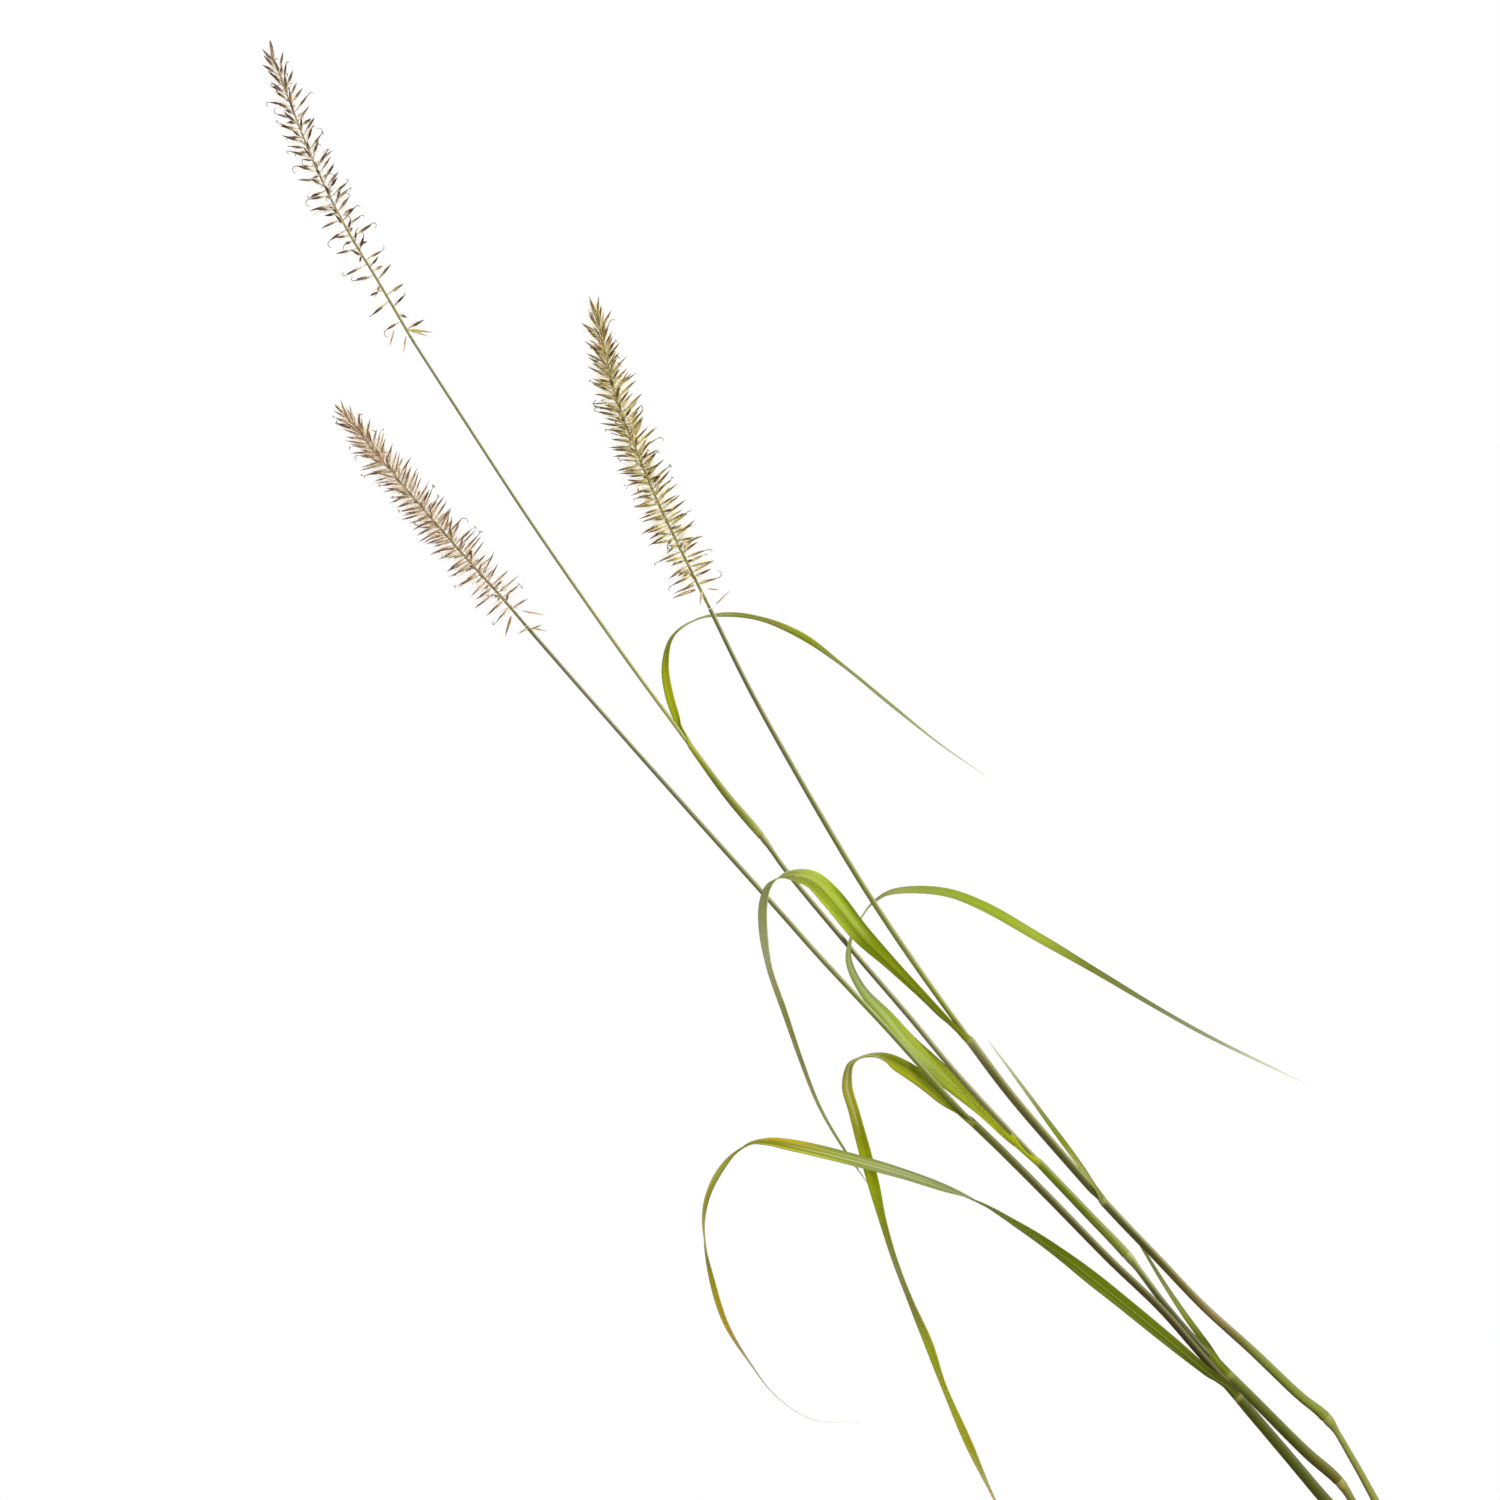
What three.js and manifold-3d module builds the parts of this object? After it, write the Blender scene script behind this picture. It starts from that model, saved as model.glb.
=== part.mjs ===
// A potted fountain grass. Three flowering culms lean out over one side of a plain clay pot, each
// with its bottlebrush head and its long folded leaves. Short leafy shoots stand round the crown.
// Lengths are millimetres and angles are degrees. +Z is up, the front is seen along +Y, and the
// origin is the middle of the pot's flat base.

import * as THREE from "three";
import { mergeVertices } from "three/addons/utils/BufferGeometryUtils.js";
import Module from "manifold-3d";

const wasm = await Module();
wasm.setup();

// The pot: a tapered clay body under a thicker rim band.
const pot = {
  height: 190,
  rimRadius: 112,
  rimBand: 38,
  rimStep: 6,
  bodyTopRadius: 102,
  baseRadius: 77,
  wall: 8,
  floor: 10,
  edge: 2.5,
  sides: 32,
  drainCount: 3,
  drainRadius: 6,
  drainRing: 38,
  drainSides: 12,
};

// The soil fills the pot to a little under the rim. Each stem stands in a plain round hole. The
// wave lengths are those of the rolls in its top.
const soil = {
  top: 172,
  gapToPot: 0.4,
  unevenness: 2.6,
  waveLengths: [88, 76, 48],
  topRings: 4,
  holeDepth: 55,
  gapToStem: 0.3,
  holeSides: 8,
};

const stemSides = 6;
const stemRingStep = 24;
const ringClearance = 7;
const nodeHalfLength = 7;

// A leaf's sheath is a thin tube round its culm, and its blade is a long ribbon with a fold.
const sheath = { gap: 0.25, wall: 0.45 };
const blade = {
  thickness: 0.6,
  foldSlope: 0.22,
  stepsPerPoint: 2,
  rootDepth: 4,
  rootClimb: 6,
  rootLift: 1.2,
};

// A spikelet is a slim three-sided spindle, thin at its root, widest at its belly. Its distances
// are from the middle of the head's axis.
const spikelet = {
  root: 0.15,
  rootRadius: 0.3,
  belly: 6.4,
  bellyRadius: 1.05,
  tip: 11.9,
  sides: 3,
  goldenAngle: 137.5,
};

const colours = {
  clay: 0xb5653f,
  soil: 0x3b2b20,
  culm: 0x76803a,
  leaf: 0x8ba51f,
  head: 0x9a8660,
  shoot: 0x7f9a2c,
};

// Each culm's path runs from its foot in the soil to the foot of its head. Radii are given by
// height, and a node is a short swelling at a height.
const culms = {
  a: {
    path: [
      [0, 9, 117.5], [0, 9, 168], [0, 9, 189], [-6, 9, 208], [-18, 8, 235], [-31, 6, 267],
      [-44, 3, 295], [-52.5, 2, 309], [-68, 1, 323], [-95, 0, 350], [-115, 0, 370],
      [-132.5, 2, 390], [-150, 4, 413], [-169, 7, 433], [-190, 10, 455], [-229, 15, 497],
      [-249, 17, 521], [-279, 20, 556], [-308, 25, 591], [-318, 28, 605], [-335, 33, 625],
      [-352, 38, 648], [-384.5, 50, 692], [-426.5, 62, 752], [-462, 72, 806], [-486, 78, 843],
    ],
    radii: [
      [110, 2.2], [290, 1.9], [330, 1.6], [405, 1.5], [425, 1.15], [556, 1.05], [625, 0.9],
      [692, 0.85], [850, 0.7],
    ],
    nodes: [[309, 2.3], [413, 2.1], [605, 1.5]],
  },
  b: {
    path: [
      [9, 6, 117.5], [9, 6, 168], [9, 6, 189], [5, 6, 207], [-4, 5, 235], [-17, 3, 268],
      [-35, 1, 298.5], [-47, -1, 320], [-59, -2, 339], [-72, -3, 350], [-94, -6, 371],
      [-117, -9, 392], [-138, -12, 414], [-159, -15, 436], [-179.5, -18, 459], [-206, -22, 490],
      [-224, -25, 514], [-253, -31, 554.5], [-275, -35, 588], [-300.5, -41, 631],
      [-324.5, -47, 674], [-342, -50, 709.5],
    ],
    radii: [
      [110, 2.3], [300, 1.75], [345, 1.3], [400, 1.0], [450, 1.1], [560, 1.15], [631, 1.0],
      [720, 0.85],
    ],
    nodes: [[339, 2.4]],
  },
  c: {
    path: [
      [-10, -8, 117.5], [-10, -8, 168], [-10, -8, 189], [-14, -8, 208], [-22, -9, 238.5],
      [-38, -11, 273], [-52, -12, 293], [-65, -13, 308], [-78, -14, 323.5], [-101, -14, 350.5],
      [-118.5, -13, 370.5], [-136.5, -12, 391], [-159, -10, 412.5], [-187, -8, 441],
      [-208, -7, 462], [-228, -5, 481.5], [-262, -3, 519], [-291, -1, 550], [-311, 0, 572.5],
      [-351.5, 3, 617.5], [-392, 7, 663], [-427.5, 10, 703.5],
    ],
    radii: [
      [110, 2.4], [262, 2.1], [290, 1.8], [345, 1.6], [362, 1.0], [480, 1.0], [550, 1.05],
      [617, 0.95], [710, 0.8],
    ],
    nodes: [[272, 2.7]],
  },
};

// Each head's path goes on from its culm to the head's tip. Thinning above 1 moves spikelets
// towards the tip, so that the foot of the head is sparse.
const heads = {
  a: {
    path: [
      [-486, 78, 843], [-501.5, 81, 869.5], [-517.5, 84, 896], [-531, 88, 922.5],
      [-539, 90, 941], [-548, 93, 964], [-557, 95, 987],
    ],
    count: 78,
    thinning: 1.3,
    seed: 11,
  },
  b: {
    path: [
      [-342, -50, 709.5], [-349.5, -53, 724.5], [-365.5, -59, 757.5], [-376, -65, 783],
      [-383, -69, 801], [-388.5, -74, 823], [-393.5, -80, 846.5],
    ],
    count: 122,
    thinning: 1.15,
    seed: 23,
  },
  c: {
    path: [
      [-427.5, 10, 703.5], [-439.5, 11, 717.5], [-454.5, 12, 734], [-472, 13, 754],
      [-485, 13, 769], [-498, 14, 784.5], [-507, 14, 796], [-517, 15, 807.5],
    ],
    count: 100,
    thinning: 1.15,
    seed: 37,
  },
};

const head = {
  gapToCulm: 0.4,
  axisRadii: [0.65, 0.42],
  axisSides: 4,
  axisSteps: 8,
  axisShare: 0.94,
  tilts: [[0, 104], [0.12, 90], [0.5, 76], [0.85, 58], [1, 16]],
  lengths: [[0, 0.86], [0.2, 1], [0.8, 1], [1, 0.8]],
  tiltSpread: 9,
  turnSpread: 16,
  lengthSpread: 0.1,
};

// Each leaf: the culm that its sheath wraps, the heights of its collar and of the sheath's foot,
// the side that the blade leaves from (0 is the culm's upper right, 90 is the front) and the
// blade's width there. Then the blade's points: place, width, and how far it turns about its own
// length, where 0 shows the upper face to the front and 90 is on edge.
const leaves = {
  leaf_1: {
    culm: "a", collar: 648, foot: 611, side: -20, rootWidth: 3.4,
    points: [
      [-358.5, 44.5, 659.5, 3.9, 50], [-362.5, 47, 672.5, 4.2, 25], [-364, 50, 686, 4.2, 45],
      [-361, 52, 699, 4.1, 60], [-351, 57, 707.5, 4.1, 84], [-336, 62, 710.5, 4.1, 122],
      [-318.5, 68, 708.5, 3.9, 122], [-299, 75, 700.5, 3.7, 144], [-280, 80, 687, 3.2, 120],
      [-256.5, 85, 668, 2.5, 125], [-232.5, 88, 649, 1.8, 130], [-208.5, 90, 632.5, 0.7, 130],
    ],
  },
  leaf_2: {
    culm: "b", collar: 514, foot: 444, side: 150, rootWidth: 3.8,
    points: [
      [-246, -31, 535, 5.1, -137], [-260.5, -33, 549.5, 6.4, -153], [-274.5, -37, 563.5, 9.2, -167],
      [-287, -41, 579, 9.9, -165], [-295.5, -45, 587.5, 9.7, -150], [-302.5, -49, 591.5, 9.2, -128],
      [-309.5, -53, 591.5, 8.5, -105], [-315.5, -57, 585.5, 7.8, -75], [-318, -59, 577, 7.4, -60],
      [-318, -58, 565, 6.9, -57], [-315.5, -53, 550, 6.2, -60], [-309, -43, 530.5, 5.1, -62],
      [-300.5, -30, 505, 3.9, -60], [-292, -18, 483, 2.8, -50], [-280.5, -5, 462.5, 1.8, -40],
      [-267.5, 8, 443, 0.7, -40],
    ],
  },
  leaf_3: {
    culm: "a", collar: 455, foot: 419, side: 185, rootWidth: 3.8,
    points: [
      [-215.5, 15, 479, 6.9, -15], [-236, 17, 496.5, 9, -5], [-249.5, 16, 509.5, 9, 5],
      [-260.5, 14, 523, 8.7, 25], [-272, 12, 536, 8.5, 48],
      [-278, 12, 549, 8.3, 68], [-277, 13, 559, 8.1, 78], [-272.5, 16, 568.5, 7.8, 85],
      [-267, 21, 575, 7.6, 88], [-256, 29, 580, 7.4, 112], [-234, 40, 579.5, 7.1, 117],
      [-213.5, 50, 572, 6.9, 127], [-185.5, 60, 556, 6.4, 130], [-158, 68, 540, 5.1, 117],
      [-130.5, 74, 523.5, 3.7, 120], [-102.5, 78, 508, 2.5, 125], [-58, 81, 486.5, 0.7, 130],
    ],
  },
  leaf_4: {
    culm: "c", collar: 482, foot: 354, side: 190, rootWidth: 3.6,
    points: [
      [-246.5, -1, 496, 7.4, -12], [-256.5, -5, 502, 7.1, -25], [-264, -11, 505.5, 6.9, -65],
      [-272.5, -19, 507, 6.7, -88], [-278.5, -26, 503.5, 6.4, -65], [-280, -31, 494, 6.2, -42],
      [-277, -34, 483, 6, -37], [-269, -35, 453.5, 5.8, -37],
      [-264, -34, 434, 5.5, -55], [-258, -31, 414.5, 5.3, -62], [-251, -28, 396, 5.1, -60],
      [-243, -25, 377, 4.8, -35], [-236, -22, 357.5, 4.4, -55], [-224, -18, 329.5, 3.7, -35],
      [-214.5, -15, 308.5, 2.5, -45], [-204, -12, 287, 0.9, -45],
    ],
  },
  leaf_5: {
    culm: "c", collar: 350, foot: 278, side: 160, rootWidth: 4.6,
    points: [
      [-113.5, -19, 361, 5.1, -60], [-132.5, -25, 377, 5.8, -15], [-164, -31, 403, 6.4, -5],
      [-188, -35, 421.5, 6.4, -40], [-204.5, -38, 432.5, 6.4, -62], [-222, -41, 443, 6.4, -83],
      [-240.5, -44, 450.5, 6.2, -122], [-259, -47, 457, 6.2, -135], [-288, -53, 465.5, 6.2, -148],
      [-306.5, -58, 470.5, 6, -140], [-317, -62, 473, 5.8, -115], [-326, -66, 471.5, 5.5, -92],
      [-335.5, -70, 462, 5.3, -62], [-342.5, -72, 449, 5.1, -65], [-344.5, -72, 434.5, 4.8, -82],
      [-340.5, -69, 410, 4.4, -125], [-334.5, -65, 391, 3.9, -125], [-324.5, -61, 374, 3, -122],
      [-312.5, -57, 358, 1.8, -115], [-296, -54, 347, 1.2, -110], [-275, -52, 345.5, 0.7, -110],
    ],
  },
  leaf_6: {
    culm: "a", collar: 362, foot: 315, side: -10, rootWidth: 4.2,
    points: [
      [-124, 4, 385.5, 3, 20], [-131.5, 5, 399, 2.1, 25],
      [-142.5, 6, 415.5, 1.2, 30], [-150, 7, 426, 0.7, 30],
    ],
  },
  leaf_7: {
    culm: "b", collar: 440, foot: 346, side: 10, rootWidth: 3.4,
    points: [
      [-170, -17, 454, 2.8, 45], [-176, -18, 461, 2.8, 22], [-182.5, -19, 469, 2.7, 18],
      [-188.5, -20, 477, 2.3, 25], [-200.5, -21, 493, 1.6, 28], [-216, -22, 514.5, 0.7, 30],
    ],
  },
};

// The short shoots stand in a ring round the crown, with no shoot on the side where the culms
// lean out. Each has a stub of rolled sheaths and a fan of arching blades.
const shoots = {
  bearings: [8, 66, 124, 238, 302],
  ring: 27,
  stubRadius: 2.6,
  stubHeight: 30,
  stubLean: 9,
  blades: [[-22, 0.35], [14, 0.52], [-9, 0.72], [24, 0.9]],
  length: [125, 175],
  width: [5, 6.4],
  firstRise: [64, 78],
  lastDip: [-60, -35],
  steps: 5,
  widthShares: [[0, 0.6], [0.3, 1], [0.7, 0.75], [1, 0.12]],
  leanShares: [[0.15, 0], [0.55, 0.35], [1, 1]],
  radiusShares: [[0.15, 1], [0.55, 0.85], [1, 0.5]],
  seed: 5,
};

function seededRandom(seed) {
  let state = seed * 7919 + 17;
  return () => {
    state = (state * 16807) % 2147483647;
    return state / 2147483647;
  };
}

function between(range, share) {
  return range[0] + (range[1] - range[0]) * share;
}

// The value at x of a broken line given as [x, value] pairs in order.
function along(pairs, x) {
  if (x <= pairs[0][0]) {
    return pairs[0][1];
  }
  for (let i = 1; i < pairs.length; i += 1) {
    if (x <= pairs[i][0]) {
      const share = (x - pairs[i - 1][0]) / (pairs[i][0] - pairs[i - 1][0]);
      return between([pairs[i - 1][1], pairs[i][1]], share);
    }
  }
  return pairs[pairs.length - 1][1];
}

function curveThrough(points) {
  return new THREE.CatmullRomCurve3(points.map((p) => new THREE.Vector3(p[0], p[1], p[2])));
}

// Two directions square to the curve: one that shows its width to the front, and one to the front.
function frameFor(tangent) {
  const wide = new THREE.Vector3(0, 1, 0).cross(tangent).normalize();
  const front = wide.clone().cross(tangent).normalize();
  return { wide, front };
}

function offset(point, directionA, lengthA, directionB, lengthB) {
  return point.clone().addScaledVector(directionA, lengthA).addScaledVector(directionB, lengthB);
}

function ringRound(centre, frame, radius, sides) {
  return Array.from({ length: sides }, (_, i) => {
    const angle = (2 * Math.PI * i) / sides;
    return offset(centre, frame.wide, radius * Math.cos(angle), frame.front, radius * Math.sin(angle));
  });
}

// A closed geometry from points and triangles, turned so that its faces point out.
function closedGeometry(points, faces) {
  const volume = faces.reduce(
    (sum, [a, b, c]) => sum + points[a].dot(points[b].clone().cross(points[c])),
    0,
  );
  const outward = volume > 0 ? faces : faces.map(([a, b, c]) => [a, c, b]);
  const geometry = new THREE.BufferGeometry().setFromPoints(points);
  geometry.setIndex(outward.flat());
  return geometry;
}

// The solid that a closed geometry bounds, ready to be joined or cut.
function solidOf(geometry) {
  const bare = geometry.clone();
  bare.deleteAttribute("normal");
  bare.deleteAttribute("uv");
  const merged = mergeVertices(bare, 1e-4);
  const index = merged.getIndex().array;
  const triangles = [];
  for (let i = 0; i < index.length; i += 3) {
    const [a, b, c] = index.slice(i, i + 3);
    if (a !== b && b !== c && c !== a) {
      triangles.push(a, b, c);
    }
  }
  return new wasm.Manifold(new wasm.Mesh({
    numProp: 3,
    vertProperties: new Float32Array(merged.getAttribute("position").array),
    triVerts: new Uint32Array(triangles),
  }));
}

// A closed sweep through rings of equal count. Quads listed in mirrored are split along the other
// diagonal, and caps are triangles on a ring's own points.
function sweep(rings, caps, mirrored = []) {
  const count = rings[0].length;
  const faces = [];
  for (let i = 0; i + 1 < rings.length; i += 1) {
    for (let j = 0; j < count; j += 1) {
      const next = (j + 1) % count;
      const [a, b] = [i * count + j, i * count + next];
      const [d, c] = [a + count, b + count];
      if (mirrored.includes(j)) {
        faces.push([a, b, d], [b, c, d]);
      } else {
        faces.push([a, b, c], [a, c, d]);
      }
    }
  }
  const last = (rings.length - 1) * count;
  caps.forEach(([a, b, c]) => {
    faces.push([a, c, b], [last + a, last + b, last + c]);
  });
  return closedGeometry(rings.flat(), faces);
}

function fanCaps(sides) {
  return Array.from({ length: sides - 2 }, (_, i) => [0, i + 1, i + 2]);
}

// An upright prism whose flats are the radius away from its axis.
function uprightPrism(radius, bottom, top, sides, x, y) {
  const corner = radius / Math.cos(Math.PI / sides);
  const geometry = new THREE.CylinderGeometry(corner, corner, top - bottom, sides);
  geometry.rotateX(Math.PI / 2);
  geometry.translate(x, y, (top + bottom) / 2);
  return solidOf(geometry);
}

function upright(profile, sides) {
  const geometry = new THREE.LatheGeometry(profile.map(([r, z]) => new THREE.Vector2(r, z)), sides);
  geometry.rotateX(Math.PI / 2);
  return solidOf(geometry);
}

function meshOf(name, solid, colour, roughness) {
  const { vertProperties, triVerts } = solid.getMesh();
  const geometry = new THREE.BufferGeometry();
  geometry.setAttribute("position", new THREE.BufferAttribute(new Float32Array(vertProperties), 3));
  geometry.setIndex(new THREE.BufferAttribute(new Uint32Array(triVerts), 1));
  geometry.computeVertexNormals();
  const material = new THREE.MeshStandardMaterial({ color: colour, roughness, metalness: 0 });
  const mesh = new THREE.Mesh(geometry, material);
  mesh.name = name;
  return mesh;
}

function wallRadiusAt(height) {
  const innerFoot = pot.baseRadius - pot.wall + 2;
  const innerRim = pot.rimRadius - pot.wall;
  return between([innerFoot, innerRim], (height - pot.floor) / (pot.height - pot.floor));
}

function makePot() {
  const bandFoot = pot.height - pot.rimBand;
  const body = upright([
    [0, 0],
    [pot.baseRadius - pot.edge, 0],
    [pot.baseRadius, pot.edge],
    [pot.bodyTopRadius, bandFoot],
    [pot.rimRadius - pot.edge, bandFoot + pot.rimStep / 3],
    [pot.rimRadius - 1, bandFoot + pot.rimStep],
    [pot.rimRadius, pot.height - pot.edge],
    [pot.rimRadius - pot.edge, pot.height],
    [wallRadiusAt(pot.height) + 1, pot.height],
    [wallRadiusAt(pot.height - 2), pot.height - 2],
    [wallRadiusAt(pot.floor), pot.floor],
    [0, pot.floor],
  ], pot.sides);
  let solid = body;
  for (let i = 0; i < pot.drainCount; i += 1) {
    const bearing = (2 * Math.PI * (i + 0.5)) / pot.drainCount;
    const x = pot.drainRing * Math.cos(bearing);
    const y = pot.drainRing * Math.sin(bearing);
    solid = solid.subtract(uprightPrism(pot.drainRadius, -1, pot.floor + 1, pot.drainSides, x, y));
  }
  return meshOf("pot", solid, colours.clay, 0.85);
}

// The soil's top rolls gently and is level where it meets the pot.
function soilTopAt(x, y) {
  const [alongX, alongY, aslant] = soil.waveLengths.map((length) => (2 * Math.PI) / length);
  const roll = Math.sin(x * alongX) * Math.cos(y * alongY) + 0.5 * Math.sin((x - y) * aslant);
  const toRim = 1 - Math.hypot(x, y) / wallRadiusAt(soil.top);
  return soil.top + soil.unevenness * roll * Math.min(1, 3 * toRim);
}

function makeSoil(stems) {
  const bottom = pot.floor + soil.gapToPot;
  const sideRadius = (height) => wallRadiusAt(height) - soil.gapToPot;
  const ringAt = (radius, height) => Array.from({ length: pot.sides }, (_, i) => {
    const angle = (2 * Math.PI * i) / pot.sides;
    const [x, y] = [radius * Math.cos(angle), radius * Math.sin(angle)];
    return new THREE.Vector3(x, y, height ?? soilTopAt(x, y));
  });
  const rings = [ringAt(sideRadius(bottom), bottom)];
  for (let i = 0; i < soil.topRings; i += 1) {
    rings.push(ringAt(sideRadius(soil.top) * (1 - i / soil.topRings)));
  }
  const ground = solidOf(sweep(rings, fanCaps(pot.sides)));
  const holeTop = soil.top + 20;
  return meshOf("soil", stems.reduce(
    (solid, stem) => solid.subtract(uprightPrism(
      stem.radius + soil.gapToStem, soil.top - soil.holeDepth, holeTop, soil.holeSides, stem.x, stem.y,
    )),
    ground,
  ), colours.soil, 1);
}

// A culm climbs all the way, so a height names one place on it.
function placeAtHeight(curve, height) {
  let [low, high] = [0, 1];
  for (let i = 0; i < 40; i += 1) {
    const middle = (low + high) / 2;
    if (curve.getPoint(middle).z < height) {
      low = middle;
    } else {
      high = middle;
    }
  }
  const share = (low + high) / 2;
  return { point: curve.getPoint(share), frame: frameFor(curve.getTangent(share)) };
}

function culmRadiusAt(culm, height) {
  const plain = along(culm.radii, height);
  return culm.nodes.reduce((radius, [nodeHeight, nodeRadius]) => {
    const away = (height - nodeHeight) / nodeHalfLength;
    const swell = Math.max(0, 1 - away * away) ** 2;
    return Math.max(radius, plain + (nodeRadius - plain) * swell);
  }, plain);
}

// The heights of a culm's rings: its ends, a few at each node and sheath, and an even step between.
function culmHeights(key) {
  const culm = culms[key];
  const [bottom, top] = [culm.path[0][2], culm.path[culm.path.length - 1][2]];
  const atNodes = culm.nodes.flatMap(([height]) => [-1, -0.45, 0, 0.45, 1].map(
    (share) => height + share * nodeHalfLength,
  ));
  const atSheaths = Object.values(leaves)
    .filter((leaf) => leaf.culm === key)
    .flatMap((leaf) => [leaf.foot, leaf.collar, leaf.collar + 2 * blade.rootClimb]);
  const fixed = [bottom, top, ...atNodes, ...atSheaths];
  const steps = Math.round((top - bottom) / stemRingStep);
  const even = Array.from({ length: steps - 1 }, (_, i) => between([bottom, top], (i + 1) / steps));
  const clear = even.filter((height) => fixed.every((other) => Math.abs(other - height) > ringClearance));
  return [...fixed, ...clear].sort((a, b) => a - b);
}

function makeCulm(key) {
  const culm = culms[key];
  const curve = curveThrough(culm.path);
  const rings = culmHeights(key).map((height) => {
    const { point, frame } = placeAtHeight(curve, height);
    return ringRound(point, frame, culmRadiusAt(culm, height), stemSides);
  });
  return meshOf(`culm_${key}`, solidOf(sweep(rings, fanCaps(stemSides))), colours.culm, 0.55);
}

// The sheath's rings go up its outside and down its inside, and the last ring meets the first.
function sheathGeometry(leaf) {
  const culm = culms[leaf.culm];
  const curve = curveThrough(culm.path);
  const heights = culmHeights(leaf.culm).filter((height) => height >= leaf.foot && height <= leaf.collar);
  const ringsAt = (extra) => heights.map((height) => {
    const { point, frame } = placeAtHeight(curve, height);
    return ringRound(point, frame, culmRadiusAt(culm, height) + extra, stemSides);
  });
  const outer = ringsAt(sheath.gap + sheath.wall);
  const inner = ringsAt(sheath.gap).reverse();
  return sweep([...outer, ...inner, outer[0]], []);
}

// A blade's section has six points: the upper face's edge, fold and edge, then the lower face's.
function ribbon(stations) {
  const half = blade.thickness / 2;
  const rings = stations.map(({ point, across, up, width }) => {
    const lift = (width / 2) * blade.foldSlope;
    return [
      offset(point, across, -width / 2, up, lift + half),
      offset(point, across, 0, up, half),
      offset(point, across, width / 2, up, lift + half),
      offset(point, across, width / 2, up, lift - half),
      offset(point, across, 0, up, -half),
      offset(point, across, -width / 2, up, lift - half),
    ];
  });
  return sweep(rings, [[0, 1, 4], [0, 4, 5], [1, 2, 3], [1, 3, 4]], [3, 4]);
}

function turned(frame, degrees) {
  const angle = THREE.MathUtils.degToRad(degrees);
  const across = new THREE.Vector3()
    .addScaledVector(frame.wide, Math.cos(angle))
    .addScaledVector(frame.front, Math.sin(angle));
  const up = new THREE.Vector3()
    .addScaledVector(frame.front, Math.cos(angle))
    .addScaledVector(frame.wide, -Math.sin(angle));
  return { across, up };
}

// The blade's first two points lie on the sheath's wall, with the upper face towards the culm.
function bladePoints(leaf) {
  const culm = culms[leaf.culm];
  const curve = curveThrough(culm.path);
  const side = THREE.MathUtils.degToRad(leaf.side);
  const rootTurn = THREE.MathUtils.radToDeg(Math.atan2(Math.cos(side), -Math.sin(side)));
  const onWall = (height, lift) => {
    const { point, frame } = placeAtHeight(curve, height);
    const away = culmRadiusAt(culm, height) + sheath.gap + blade.thickness / 2 + lift;
    const place = offset(point, frame.wide, away * Math.cos(side), frame.front, away * Math.sin(side));
    return [place.x, place.y, place.z, leaf.rootWidth, rootTurn];
  };
  return [
    onWall(leaf.collar - blade.rootDepth, 0),
    onWall(leaf.collar + blade.rootClimb, blade.rootLift),
    ...leaf.points,
  ];
}

function makeLeaf(name, leaf) {
  const points = bladePoints(leaf);
  const curve = curveThrough(points);
  const steps = (points.length - 1) * blade.stepsPerPoint;
  const stations = Array.from({ length: steps + 1 }, (_, i) => {
    const share = i / steps;
    const width = along(points.map((p, j) => [j / (points.length - 1), p[3]]), share);
    const turn = along(points.map((p, j) => [j / (points.length - 1), p[4]]), share);
    const { across, up } = turned(frameFor(curve.getTangent(share)), turn);
    return { point: curve.getPoint(share), across, up, width };
  });
  const solid = solidOf(sheathGeometry(leaf)).add(solidOf(ribbon(stations)));
  return meshOf(name, solid, colours.leaf, 0.5);
}

function spikeletGeometry(middle, direction, length, turn) {
  const frame = frameFor(direction);
  const corners = (distance, radius) => Array.from({ length: spikelet.sides }, (_, i) => {
    const angle = turn + (2 * Math.PI * i) / spikelet.sides;
    const centre = middle.clone().addScaledVector(direction, distance);
    return offset(centre, frame.wide, radius * Math.cos(angle), frame.front, radius * Math.sin(angle));
  });
  const points = [
    ...corners(spikelet.root, spikelet.rootRadius),
    ...corners(spikelet.belly * length, spikelet.bellyRadius),
    middle.clone().addScaledVector(direction, spikelet.tip * length),
  ];
  const tip = points.length - 1;
  const faces = [[0, 2, 1]];
  for (let j = 0; j < spikelet.sides; j += 1) {
    const next = (j + 1) % spikelet.sides;
    const [above, aboveNext] = [j + spikelet.sides, next + spikelet.sides];
    faces.push([j, next, aboveNext], [j, aboveNext, above], [above, aboveNext, tip]);
  }
  return closedGeometry(points, faces);
}

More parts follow.
